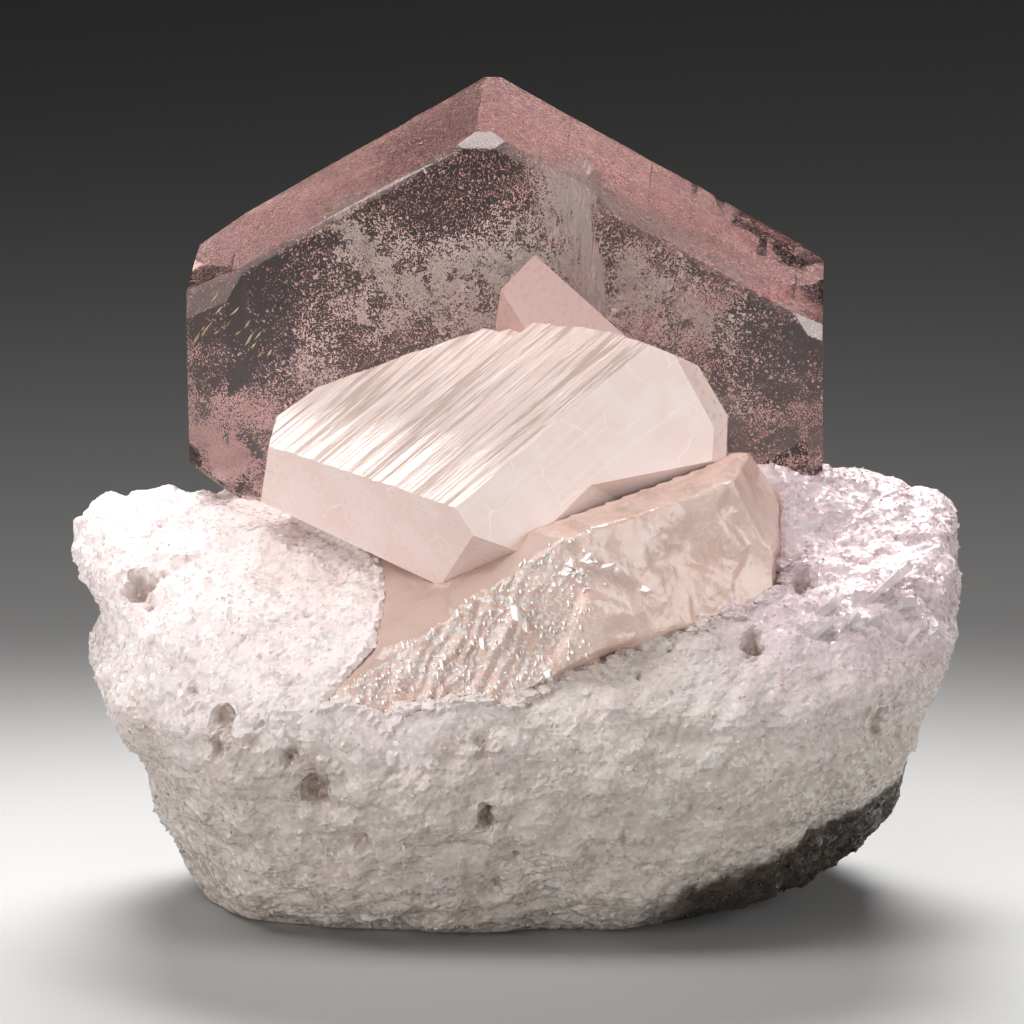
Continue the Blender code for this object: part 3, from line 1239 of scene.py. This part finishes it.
    def build_stipple(self, random: np.random.Generator) -> None:
        """Makes the pits that frost the far face, thick in the middle and gone toward the sides.

        Args:
            random: Where their places and sizes come from.
        """
        count = self.stipples * self.stipple_tries
        right = random.uniform(*self.stipple_right, count)
        up = random.uniform(*self.stipple_up, count)
        level = np.full_like(right, self.stipple_plane)
        places = np.stack([right, up, level], axis=1)
        edge = np.clip((np.abs(right + 1.0) - self.stipple_core) / self.stipple_rim, 0, 1)
        thick = self.stipple_cover - edge * self.stipple_loss
        thick += 0.16 * cloudy(places, size=6.0) + 0.28 * cloudy(places, size=1.0)
        points = self.inside(places[random.uniform(0, 1, len(places)) < thick])[: self.stipples]
        sizes = scattered(random, len(points), 4.0, 0.019)
        mesh = flakes(points, tuple(self.main().axes()[0]), sizes, 0.25, random)
        Piece("etched_frost", Slot.BERYL).place(mesh, DUSTY_PINK)

    def gather(self, rows: tuple[Row, ...], lump: float, random: np.random.Generator) -> np.ndarray:
        """Gathers points into clouds.

        Args:
            rows: Each cloud's place right, up and forward, its width and height, and its number of points.
            lump: The size of the lumps inside it.
            random: Where the points come from.

        Returns:
            The points inside the crystal, in rows of millimetres.
        """
        found = []
        for right, up, forward, wide, tall, count in rows:
            places = random.normal(0, 0.5, (int(count) * self.cloud_tries, 3))
            places *= (wide, tall, self.cloud_depth)
            places[:, 2] += self.cloud_lean * places[:, 0]
            places += (right, up, forward)
            holes = np.abs(cloudy(places * (1.0, 1.6, 0.4), size=0.55 * lump))
            lace = cloudy(places, size=lump) + 0.7 * (0.25 - holes)
            found.append(places[lace > self.lace][: int(count)])
        return self.inside(np.concatenate(found))

    def build_veils(self, random: np.random.Generator) -> None:
        """Makes the creamy veils of tiny cracks and bubbles, and the pink clouds beside them.

        Args:
            random: Where their places and sizes come from.
        """
        facing = tuple(self.main().axes()[0])
        points = self.gather(self.veils, 2.6, random)
        sizes = scattered(random, len(points), 2.5, 0.044, 0.5)
        veils = flakes(points, facing, sizes, 0.45, random)
        Piece("veils", Slot.BERYL).place(veils, Frost("creamy frost", (1.0, 0.93, 0.88)))
        points = self.gather(self.clouds, 4.0, random)
        sizes = scattered(random, len(points), 4.0, 0.022)
        clouds = flakes(points, facing, sizes, 0.5, random)
        Piece("pink_clouds", Slot.BERYL).place(clouds, DUSTY_PINK)

    def build_bands(self, random: np.random.Generator) -> None:
        """Makes the fine pink grains that cloud the crystal just under its upper faces.

        Args:
            random: Where their places and sizes come from.
        """
        main, second = self.growths()
        points = self.inside(random.uniform(*self.grain_room, (self.band_grains * self.band_tries, 3)))
        depths = np.array([growth.outside(points) for growth in (main, second)])
        rises = np.array([growth.rise(points) for growth in (main, second)])
        which = depths.argmin(axis=0)
        rows = np.arange(len(points))
        under = (rises[which, rows] > self.band_rise) & (depths[which, rows] > -self.band_depth)
        points = points[under][: self.band_grains]
        sizes = scattered(random, len(points), 4.0, 0.026)
        mesh = flakes(points, (0.0, 0.0, 1.0), sizes, 0.35, random)
        Piece("band_grains", Slot.BERYL).place(mesh, Frost("rosy frost", (0.96, 0.70, 0.68)))

    def build_suture(self, random: np.random.Generator) -> None:
        """Makes the pale threads along the line where the two growths meet.

        Args:
            random: Where their places and sizes come from.
        """
        up = random.uniform(*self.thread_up, self.threads)
        right = self.thread_right + 0.9 * np.sin(up * 0.35) - random.gamma(1.2, 1.1, self.threads)
        forward = random.uniform(*self.thread_forward, self.threads)
        points = self.inside(np.stack([right, up, forward], axis=1))
        sizes = random.uniform((0.5, 0.04), (1.7, 0.12), (len(points), 2))
        along, _, upright = self.main().axes()
        mesh = flakes(points, tuple(along), sizes, 0.4, random, tuple(upright))
        Piece("suture_threads", Slot.BERYL).place(mesh, Frost("pale threads", (1.0, 0.90, 0.87)))

    def build_sparks(self, random: np.random.Generator) -> None:
        """Makes the bright specks all through the crystal, and a few greenish splinters.

        Args:
            random: Where their places and sizes come from.
        """
        points = self.inside(random.uniform(*self.spark_room, (self.sparks, 3)))
        slim = random.gamma(3.0, 0.045, (len(points), 1))
        sizes = slim * random.uniform((0.6, 0.3), (2.2, 0.7), (len(points), 2))
        mesh = flakes(points, tuple(self.main().axes()[0]), sizes, 0.8, random)
        Piece("sparks", Slot.BERYL).place(mesh, Frost("bright specks", WHITE, 0.12))
        rows = np.array(self.splinters)[np.arange(self.splinter_count) % len(self.splinters)]
        points = self.inside(rows + random.normal(0, (0.7, 1.5, 1.0), rows.shape))
        sizes = random.uniform((0.4, 0.05), (1.5, 0.2), (len(points), 2))
        mesh = flakes(points, tuple(self.main().axes()[0]), sizes, 0.4, random, self.splinter_run)
        green = Frost("greenish splinters", (0.86, 0.88, 0.55), 0.15)
        Piece("green_splinters", Slot.BERYL).place(mesh, green)

    def build(self) -> None:
        """Builds the crystal and what is inside it."""
        random = np.random.default_rng(self.seed + 1)
        self.build_body()
        self.build_stipple(random)
        self.build_veils(random)
        self.build_bands(random)
        self.build_suture(random)
        self.build_sparks(random)


@dataclass
class FrontCrystal:
    """The striated crystal across the foot, with the wedge behind it."""

    centre: Triple = (-3.654, -7.368, 52.3)
    axis: tuple[float, float] = (-131.4, -22.3)
    turn: float = 22.5
    ends: tuple[float, float] = (18.15, 26.0)
    pale: tuple[Tilt, float, float] = (Tilt.PRISM, 0, 14.0)
    striated: tuple[Tilt, float, float] = (Tilt.PRISM, 1, 7.05)
    hidden: tuple[Tilt, float, float] = (Tilt.PRISM, -1, 26.0)
    breaks: tuple[Triple, ...] = (
        (33.4, 65.5, 16.55),
        (-21.4, 27.4, 20.85),
        (-36.2, 14.9, 18.8),
        (-3.0, 0.0, 26.4),
        (114.4, 24.2, 11.7),
        (139.5, 15.8, 16.6),
        (176.5, 10.7, 22.5),
        (-85.3, -45.8, 19.2),
        (-161.1, -66.1, 14.8),
        (90.0, 0.0, 26.0),
    )
    ledge: tuple[Triple, ...] = ((141.4, 2.3, -15.9), (130.3, 22.8, -15.3))
    notch: tuple[Triple, ...] = ((-133.0, -38.3, -12.1), (-24.9, -39.1, -6.4), (67.7, -66.5, -6.0))
    wedge_faces: tuple[Triple, ...] = (
        (-114.5, 16.5, -5.95),
        (-131.2, 1.4, -9.1),
        (39.6, 22.3, 17.5),
        (-3.0, 0.0, 16.0),
        (90.0, 0.0, 22.0),
        (180.0, 0.0, 4.0),
        (0.0, 90.0, 24.0),
        (0.0, -90.0, 2.0),
    )
    lines: int = 150
    step_share: float = 0.32
    edge_share: float = 0.05
    seed: int = 11

    def main(self) -> Growth:
        """Gives the crystal before anything breaks off it."""
        growth = Growth(self.centre, self.axis, self.turn).ends(*self.ends)
        return growth.forms((self.striated, self.pale, self.hidden)).cuts(self.breaks)

    def wedge(self) -> Growth:
        """Gives the wedge behind the striated crystal."""
        return Growth(self.centre).cuts(self.wedge_faces)

    def growths(self) -> tuple[Growth, Growth]:
        """Gives the crystal and its wedge."""
        return self.main(), self.wedge()

    def striate(self, made: bmesh.types.BMesh) -> None:
        """Gives the striated face its ridges and steps.

        Args:
            made: The crystal's body.
        """
        random = np.random.default_rng(self.seed)
        growth = Growth(self.centre, self.axis, self.turn).forms((self.striated,))
        steps = random.gamma(1.3, 1.0, self.lines + 1)
        shares = np.cumsum(steps)[:-1] / steps.sum()
        broad = np.cumsum(random.normal(0, 0.10, self.lines))
        broad -= np.linspace(broad[0], broad[-1], self.lines)
        heights = broad * self.step_share + random.uniform(-0.04, 0.02, self.lines)
        growth.ridge(made, 0, shares, heights * np.clip((1 - shares) / self.edge_share, 0, 1))

    def build(self, back: BackCrystal) -> None:
        """Builds the crystal.

        Args:
            back: The crystal that it grew against.
        """
        main, wedge = self.growths()
        body = main.body()
        self.striate(body)
        broken = [Growth(self.centre).cuts(cut).body() for cut in (self.ledge, self.notch)]
        mesh = combined(
            mesh_of(body),
            *(("DIFFERENCE", mesh_of(part)) for part in broken),
            ("UNION", mesh_of(wedge.body())),
            *(("DIFFERENCE", mesh_of(growth.body(CONTACT))) for growth in back.growths()),
        )
        striated = Growth(self.centre, self.axis, self.turn).forms((self.striated,)).faces[0][0]
        # The wedge's two near faces get painted shade.
        deep = tuple(tuple(normal) for normal, _ in wedge.faces[:2])
        finish = MilkyBeryl("milky peach beryl", tuple(main.axes()[0]), tuple(striated), deep=deep)
        Piece("front_crystal", Slot.BERYL, ("crystals",)).place(mesh, finish)


@dataclass
class LowerCrystal:
    """The broken crystal below, with its glittering face on the left."""

    centre: Triple = (5.546, -14.668, 36.0)
    faces: tuple[Triple, ...] = (
        (-94.7, 1.4, 16.4),
        (-147.7, 48.5, 14.4),
        (-80.4, 15.8, 18.4),
        (-81.8, 45.7, 18.6),
        (-55.1, 16.1, 15.5),
        (-2.8, 0.6, 22.9),
        (-163.9, 81.9, 11.8),
        (-48.0, -51.0, 10.0),
        (-36.6, -29.8, 15.9),
        (90.0, 0.0, 11.0),
        (0.0, -90.0, 14.0),
        (180.0, 0.0, 26.0),
    )
    broken_corner: tuple[Triple, ...] = ((-12.0, 30.0, 22.6), (-25.0, -35.0, 18.6))
    stripe: Triple = (-0.91, 0.0, 0.41)
    stripes: int = 44
    stripes_right: float = 6.0
    frost_right: float = 12.0
    small_flashes: int = 420
    small_right: float = 8.0
    small_front: float = -28.0
    patch: Row = (7.4, -31.6, 43.6, 1.7, 0.65)
    patch_flashes: int = 34
    flashes: tuple[Row, ...] = (
        (-0.4, -31.4, 39.6, 2.2, 0.5, 62.0),
        (0.8, -31.4, 38.0, 1.9, 0.4, 62.0),
        (15.1, -31.0, 42.2, 1.2, 0.4, 10.0),
        (3.2, -31.4, 32.6, 0.9, 0.4, 45.0),
        (8.4, -31.2, 27.6, 1.0, 0.5, 30.0),
        (-4.0, -31.4, 36.2, 1.6, 0.3, 62.0),
        (-8.0, -31.4, 33.2, 1.4, 0.25, 62.0),
    )
    flash_normal: Triple = (-0.354, -0.724, 0.592)
    flash_corners: int = 5
    flash_sides: tuple[float, float] = (0.2, -0.6)
    step_height: float = 0.38
    steep_share: float = 0.45
    voxel: float = 0.32
    seed: int = 23

    def main(self) -> Growth:
        """Gives the crystal before it is roughened."""
        return Growth(self.centre).cuts(self.faces + self.broken_corner)

    def sawtooth(self, places: np.ndarray, random: np.random.Generator) -> np.ndarray:
        """Gives the heights of steps that rise steeply and fall off gently.

        Args:
            places: How far along the row of steps each point is.
            random: Where the steps' widths come from.

        Returns:
            One height for each point.
        """
        widths = random.gamma(2.0, 1.0, self.stripes)
        ends = np.cumsum(np.concatenate([[0.0], widths])) / widths.sum()
        shares = (places - places.min()) / (places.max() - places.min())
        number = np.clip(np.searchsorted(ends, shares, side="right") - 1, 0, self.stripes - 1)
        inside = (shares - ends[number]) / (ends[number + 1] - ends[number])
        tall = self.step_height * widths[number] / widths.mean()
        rising, falling = inside / self.steep_share, (1 - inside) / (1 - self.steep_share)
        return tall * np.where(inside < self.steep_share, rising, falling)

    def build(self, back: BackCrystal, front: FrontCrystal) -> None:
        """Builds the crystal, with its striped face and its broken ones.

        Args:
            back: The tabular crystal.
            front: The striated crystal.
        """
        near = (*back.growths(), *front.growths())
        cuts = [("DIFFERENCE", mesh_of(growth.body(CONTACT))) for growth in near]
        skin = Skin(remeshed(combined(mesh_of(self.main().body()), *cuts), self.voxel))
        random = np.random.default_rng(self.seed)
        skin.points = skin.spread(skin.points, 1)
        skin.write()
        self.roughen(skin, clearance(near, skin.points), random)
        # The second face is the hollow one, which gets painted shade.
        frosted, hollow = (tuple(normal) for normal, _ in self.main().faces[:2])
        finish = BrokenBeryl("broken peach beryl", frosted, hollow)
        Piece("lower_crystal", Slot.BERYL, ("crystals",)).place(skin.mesh, finish)
        self.build_flashes(skin, random)

    def roughen(self, skin: Skin, clear: np.ndarray, random: np.random.Generator) -> None:
        """Gives the faces their steps and their broken relief.

        Args:
            skin: The crystal's even mesh.
            clear: How far each point is from the other crystals.
            random: Where the relief comes from.
        """
        way = np.array(self.main().faces[0][0])
        striped = np.clip((skin.normals @ way - 0.75) / 0.15, 0, 1)
        striped *= np.clip((self.stripes_right - skin.points[:, 0]) / 6.0, 0, 1)
        rough = 0.6 * skin.fractal(9.0, 2) + skin.facets(7.0, 0.05, random)
        rough = skin.spread(rough, 9) + 0.05 * skin.fractal(1.6, 3, 4.0)
        steps = self.sawtooth(skin.points @ np.array(self.stripe) + 1.1 * skin.fractal(5.0, 3, 9.0), random)
        steps *= 0.65 + 0.7 * skin.fractal(3.0, 2, 13.0)
        rough = rough * (1 - 0.6 * striped) + steps * striped
        skin.points += skin.normals * (rough * np.clip(clear / 1.0, 0, 1))[:, None]
        skin.write()
        skin.paint("frost", np.clip((self.frost_right - skin.points[:, 0]) / 10.0, 0.25, 1))

    def small_rows(self, skin: Skin, random: np.random.Generator) -> list[Row]:
        """Draws the small flashes over the frosted face and those of the bright patch.

        Args:
            skin: The crystal's finished skin.
            random: Where their places and sizes come from.

        Returns:
            Rows like those of the named flashes.
        """
        frosted = skin.normals @ np.array(self.main().faces[0][0]) > 0.6
        frosted &= (skin.points[:, 0] < self.small_right) & (skin.points[:, 1] < self.small_front)
        frosted &= self.main().outside(skin.points) > -0.6
        spots = skin.points[frosted]
        rows = [
            (*spot, random.gamma(2.0, 0.13), random.uniform(0.06, 0.18), random.normal(60.0, 16.0))
            for spot in spots[random.integers(0, len(spots), self.small_flashes)]
        ]
        x, y, z, across, tall = self.patch
        for _ in range(self.patch_flashes):
            spot = (x + random.normal(0, across), y, z + random.normal(0, tall))
            shape = (random.gamma(4.0, 0.14), random.uniform(0.15, 0.4), random.normal(10.0, 35.0))
            rows.append((*spot, *shape))
        return rows

    def plate(self, middle: Vector, shape: Triple, random: np.random.Generator) -> list[np.ndarray]:
        """Gives the corners of one flash, first those above the skin and then those under it.

        Args:
            middle: The nearest point of the skin.
            shape: Its half length and half width, and how many degrees its length rises.
            random: Where its outline comes from.

        Returns:
            The corners, in millimetres.
        """
        long, wide, lean = shape
        normal = np.array(self.flash_normal)
        level = np.cross(normal, (0.0, 0.0, 1.0))
        level /= -np.linalg.norm(level)
        rise = np.cross(level, normal)
        turn = math.radians(lean)
        length = math.cos(turn) * level + math.sin(turn) * rise
        width = np.cross(normal, length)
        corners = []
        for side in self.flash_sides:
            for angle in np.linspace(0, 2 * math.pi, self.flash_corners, endpoint=False) + 0.3:
                reach = random.uniform(0.7, 1.0)
                along, across = math.cos(angle) * long * reach, math.sin(angle) * wide * reach
                corners.append(np.array(middle) + length * along + width * across + normal * side)
        return corners

    def build_flashes(self, skin: Skin, random: np.random.Generator) -> None:
        """Makes the small flat breaks that flash in the light.

        Args:
            skin: The crystal's finished skin.
            random: Where their outlines come from.
        """
        rows = (*self.flashes, *self.small_rows(skin, random))
        tree = tree_of(skin.points)
        body = bmesh.new()
        count = self.flash_corners
        for x, y, z, *shape in rows:
            middle, _, _ = tree.find((x, y, z))
            verts = [body.verts.new(corner) for corner in self.plate(middle, tuple(shape), random)]
            body.faces.new(verts[:count])
            body.faces.new(verts[:count - 1:-1])
            for step in range(count):
                ahead = (step + 1) % count
                body.faces.new((verts[step], verts[count + step], verts[count + ahead], verts[ahead]))
        bmesh.ops.recalc_face_normals(body, faces=body.faces)
        Piece("bright_flakes", Slot.BERYL).place(mesh_of(body), BrightFlake("bright flakes"))


@dataclass
class Matrix:
    """The granular rock, with its pits, loose grains and clear blades."""

    voxel: float = 0.56
    socket_reach: float = 0.9
    socket_push: float = 0.5
    pits: tuple[Row, ...] = (
        (-40.7, -11.4, 37.9, 2.6, 2.4),
        (-35.2, -24.7, 29.5, 1.0, 0.9),
        (-35.8, -25.5, 27.7, 0.8, 0.7),
        (-31.4, -27.3, 26.6, 1.5, 1.3),
        (-32.2, -27.5, 22.9, 1.2, 1.0),
        (-24.2, -29.7, 22.7, 1.3, 1.0),
        (-21.5, -28.7, 19.5, 1.9, 1.8),
        (-13.5, -30.9, 21.6, 1.4, 1.0),
        (-3.3, -30.6, 16.9, 1.4, 2.2),
        (-16.6, -28.9, 13.1, 1.1, 0.9),
        (-12.7, -28.3, 10.4, 0.7, 0.6),
        (-0.2, -27.9, 11.0, 0.9, 0.8),
        (-2.4, -24.5, 6.8, 1.3, 0.8),
        (39.1, -20.8, 24.9, 1.5, 1.4),
        (30.5, -14.6, 39.0, 2.4, 1.8),
        (25.4, -24.5, 34.0, 1.7, 1.2),
    )
    vugs: int = 150
    seam_grains: int = 500
    seam_reach: tuple[float, float] = (-0.2, 1.4)
    lumps: int = 230
    lump_reach: tuple[float, float] = (-0.2, 0.9)
    lump_front: float = -12.0
    lump_left: float = -14.0
    blades: int = 16
    blades_start: Triple = (32.5, -21.5, 34.0)
    blades_end: Triple = (41.0, -14.0, 37.5)
    blades_out: Triple = (0.45, -0.75, 0.5)
    blades_run: Triple = (0.62, 0.5, 0.42)
    grains: int = 11000
    seed: int = 31

    def roughen(self, skin: Skin, growths: tuple[Growth, ...]) -> None:
        """Gives the rock its lumps, pits and grain, and fits it to the crystals.

        Args:
            skin: The rock's even mesh.
            growths: The crystals that it holds.
        """
        random = np.random.default_rng(self.seed)
        skin.points = skin.spread(skin.points, 4)
        skin.write()
        clear = clearance(growths, skin.points)
        rough = 0.85 * skin.fractal(10.0, 4) + 0.30 * skin.fractal((8.0, 8.0, 2.2), 3, 3.0)
        rough += 0.26 * skin.fractal(2.2, 4, 7.0) + skin.facets(2.4, 0.06, random)
        rough += 1.0 * np.abs(skin.fractal(7.0, 2, 11.0)) - 0.3
        self.hollow_out(skin, rough, random)
        rough *= np.clip((clear - self.socket_reach) / 1.5, 0, 1)
        rough += np.where(clear < self.socket_reach, self.socket_push, 0.0)
        foot = np.clip((skin.points[:, 2] - 0.4) / 2.0, 0, 1)
        skin.points += skin.normals * (rough * foot)[:, None]
        skin.points[:, 2] = np.maximum(skin.points[:, 2], 0.0)
        skin.write()

    def hollow_out(self, skin: Skin, rough: np.ndarray, random: np.random.Generator) -> None:
        """Sinks the named pits and many small ones, and paints them on the rock.

        Args:
            skin: The rock before it is roughened.
            rough: The height of each point, which the pits lower.
            random: Where the small pits come from.
        """
        tree = tree_of(skin.points)
        spots = skin.points[random.integers(0, len(skin.points), self.vugs)]
        random_pits = [(*spot, random.gamma(3.0, 0.22), random.uniform(0.25, 0.9)) for spot in spots]
        pit = np.zeros(len(skin.points))
        for x, y, z, reach, depth in (*self.pits, *random_pits):
            for place, number, _ in tree.find_range((x, y, z), reach * 2.4):
                step = place - Vector((x, y, z))
                away = Vector((step.x * 1.25, step.y, step.z * 0.8)).length
                ragged = 0.95 + 0.8 * noise.noise(place * 0.55) + 0.45 * noise.noise(place * 1.6)
                share = max(0.0, 1.0 - (away / (reach * max(ragged, 0.2))) ** 2)
                rough[number] -= 1.3 * depth * share
                pit[number] = max(pit[number], share * min(1.0, 0.8 * depth))
        skin.paint("pit", pit)

    def scatter(self, skin: Skin, growths: tuple[Growth, ...]) -> bpy.types.Mesh:
        """Makes the loose grains, as small tilted blocks.

        Args:
            skin: The finished rock.
            growths: The crystals that it holds.

        Returns:
            One mesh of all the grains.
        """
        random = np.random.default_rng(self.seed + 1)
        clear = clearance(growths, skin.points)
        above = skin.points[:, 2] > 0.8
        low, high = self.seam_reach
        seam = np.flatnonzero((clear > low) & (clear < high) & above)
        open_points = np.flatnonzero((clear >= high) & above)
        chosen = random.choice(open_points, self.grains - self.seam_grains, replace=False)
        chosen = np.concatenate([chosen, random.choice(seam, self.seam_grains)])
        middles = skin.points[chosen] + random.normal(0, 0.06, (self.grains, 3)) - 0.05 * skin.normals[chosen]
        sizes = random.gamma(6.0, 0.023, (self.grains, 1))
        sizes = sizes * random.uniform((0.8, 0.55, 0.3), (1.2, 1.0, 0.8), (self.grains, 3))
        turned = np.linalg.qr(random.normal(size=(self.grains, 3, 3)))[0]
        signs = np.array([(x, y, z) for z in (-1, 1) for y in (-1, 1) for x in (-1, 1)], float)
        corners = signs[None] * sizes[:, None] * random.uniform(0.72, 1.0, (self.grains, 8, 1))
        points = np.einsum("nij,nkj->nki", turned, corners) + middles[:, None]
        faces = BLOCK_SIDES[None] + len(signs) * np.arange(self.grains)[:, None, None]
        points[..., 2] = np.maximum(points[..., 2], 0.05)
        return mesh_from(points.reshape(-1, 3), faces.reshape(-1, 4))

    def build_lumps(self, skin: Skin, held: Growth) -> None:
        """Makes the lumps of rock that cling along the foot of the broken crystal.

        Args:
            skin: The finished rock.
            held: The broken crystal.
        """
        random = np.random.default_rng(self.seed + 3)
        clear = held.outside(skin.points)
        low, high = self.lump_reach
        seam = (clear > low) & (clear < high)
        seam &= (skin.points[:, 1] < self.lump_front) & (skin.points[:, 0] > self.lump_left)
        spots = skin.points[seam]
        body = bmesh.new()
        for spot in spots[random.integers(0, len(spots), self.lumps)]:
            made = bmesh.ops.create_icosphere(body, subdivisions=3, radius=1.0)["verts"]
            reach = np.clip(random.gamma(4.0, 0.15), 0.25, 1.3)
            reach = reach * random.uniform((0.8, 0.6, 0.4), (1.6, 1.0, 0.9))
            shift = Vector(random.uniform(0, 50, 3))
            for vert in made:
                vert.co *= 1.0 + 0.5 * noise.fractal(vert.co * 1.6 + shift, 0.8, 2.1, 4)
            bmesh.ops.scale(body, verts=made, vec=reach)
            bmesh.ops.translate(body, verts=made, vec=spot)
        Piece("seam_lumps", Slot.ROCK, ("matrix",)).place(mesh_of(body), LOOSE_GRAINS)

    def build_blades(self) -> None:
        """Makes the clear blades that lie on the right of the rock."""
        random = np.random.default_rng(self.seed + 2)
        row = np.linspace(0.0, 1.0, self.blades)[:, None]
        middles = np.array(self.blades_start) * (1 - row) + np.array(self.blades_end) * row
        middles += random.normal(0, (1.6, 1.2, 1.4), (self.blades, 3))
        out = Vector(self.blades_out).normalized()
        body = bmesh.new()
        for middle in middles:
            made = bmesh.ops.create_cube(body, size=1.0)["verts"]
            sizes = (random.uniform(0.5, 1.1), random.uniform(2.2, 5.0), random.uniform(0.9, 2.0))
            bmesh.ops.scale(body, verts=made, vec=sizes)
            run = Vector(self.blades_run) + Vector(random.normal(0, 0.25, 3))
            turned = out.cross(run).to_track_quat("X", "Y")
            bmesh.ops.rotate(body, verts=made, cent=(0, 0, 0), matrix=turned.to_matrix())
            bmesh.ops.translate(body, verts=made, vec=middle)
        Piece("clear_blades", Slot.ROCK).place(mesh_of(body), ClearBlade("clear blades"))

    def build(self, growths: tuple[Growth, ...]) -> None:
        """Builds the rock and its grains.

        Args:
            growths: The crystals that it holds.
        """
        skin = Skin(remeshed(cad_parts["matrix"].data.copy(), self.voxel))
        self.roughen(skin, growths)
        self.build_blades()
        self.build_lumps(skin, growths[-1])
        Piece("matrix_rock", Slot.ROCK, ("matrix",)).place(skin.mesh, SugaryRock("sugary white rock"))
        Piece("matrix_grains", Slot.ROCK, ("matrix",)).place(self.scatter(skin, growths), LOOSE_GRAINS)


@dataclass(frozen=True)
class Softbox:
    """One soft light, placed and aimed in metres."""

    name: str
    place: Triple
    size: tuple[float, float]
    power: float
    spread: float
    aim: Triple = (0.0, 0.0, 0.05)

    def build(self) -> None:
        """Puts the light in the scene."""
        light = bpy.data.lights.new(self.name, "AREA")
        light.shape = "RECTANGLE"
        light.size, light.size_y = self.size
        light.energy = self.power
        light.spread = math.radians(self.spread)
        made = linked(self.name, light)
        made.location = self.place
        made.visible_camera = False
        aim = Vector(self.aim) - Vector(self.place)
        made.rotation_euler = aim.to_track_quat("-Z", "Y").to_euler()


@dataclass
class Studio:
    """The camera, the pale card and the soft lights."""

    target: Triple = (-0.0004541, 0.0013319, 0.043)
    distance: float = 1.0
    elevation: float = 12.5
    lens: float = 319.6
    card_radius: float = 4.0
    ambient: Triple = (0.035, 0.034, 0.034)
    lights: tuple[Softbox, ...] = (
        Softbox("key softbox", (-0.26, -0.11, 0.36), (0.20, 0.20), 0.215, 100.0),
        Softbox("overhead softbox", (-0.01, -0.09, 0.34), (0.20, 0.14), 0.12, 100.0),
        Softbox("right softbox", (0.36, -0.08, 0.16), (0.18, 0.18), 0.085, 80.0),
        Softbox("left softbox", (-0.32, -0.27, 0.10), (0.18, 0.16), 0.085, 70.0),
        Softbox("front softbox", (0.05, -0.44, 0.10), (0.24, 0.14), 0.06, 70.0),
        Softbox("rear softbox", (0.0, 0.15, 0.20), (0.22, 0.07), 0.17, 50.0, (0.0, 0.03, 0.045)),
    )

    def build_camera(self) -> None:
        """Puts the camera at the photo's angle."""
        lens = bpy.data.cameras.new("camera")
        lens.lens = self.lens
        camera = linked("camera", lens)
        rise = math.radians(self.elevation)
        back = Vector((0.0, -math.cos(rise), math.sin(rise)))
        camera.location = Vector(self.target) + back * self.distance
        camera.rotation_euler = (math.radians(90 - self.elevation), 0.0, 0.0)
        bpy.context.scene.camera = camera

    def build_card(self) -> None:
        """Lays the pale card on the ground."""
        made = bmesh.new()
        bmesh.ops.create_circle(made, cap_ends=True, radius=self.card_radius / MM, segments=96)
        mesh = mesh_of(made)
        mesh.materials.append(PaleCard("pale card").material())
        linked("studio_floor", mesh)

    def build(self) -> None:
        """Builds the studio."""
        self.build_camera()
        self.build_card()
        scene = bpy.context.scene
        world = bpy.data.worlds.new("studio")
        world.use_nodes = True
        world.node_tree.nodes["Background"].inputs["Color"].default_value = (*self.ambient, 1.0)
        scene.world = world
        scene.view_settings.view_transform = "Standard"
        scene.cycles.use_light_tree = False
        scene.cycles.diffuse_bounces = 3
        for light in self.lights:
            light.build()


def corners(box: tuple[Vector, Vector]) -> list[list[float]]:
    """Gives a box's two corners as plain lists."""
    return [list(corner) for corner in box]


def main() -> None:
    """Builds every part of the specimen in order, then the studio."""
    logging.basicConfig(level=logging.INFO, format="%(message)s")
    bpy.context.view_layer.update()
    back, front, lower = BackCrystal(), FrontCrystal(), LowerCrystal()
    back.build()
    front.build(back)
    lower.build(back, front)
    Matrix().build((*back.growths(), *front.growths(), lower.main()))
    Studio().build()
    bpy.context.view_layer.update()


if __name__ == "__main__":
    main()
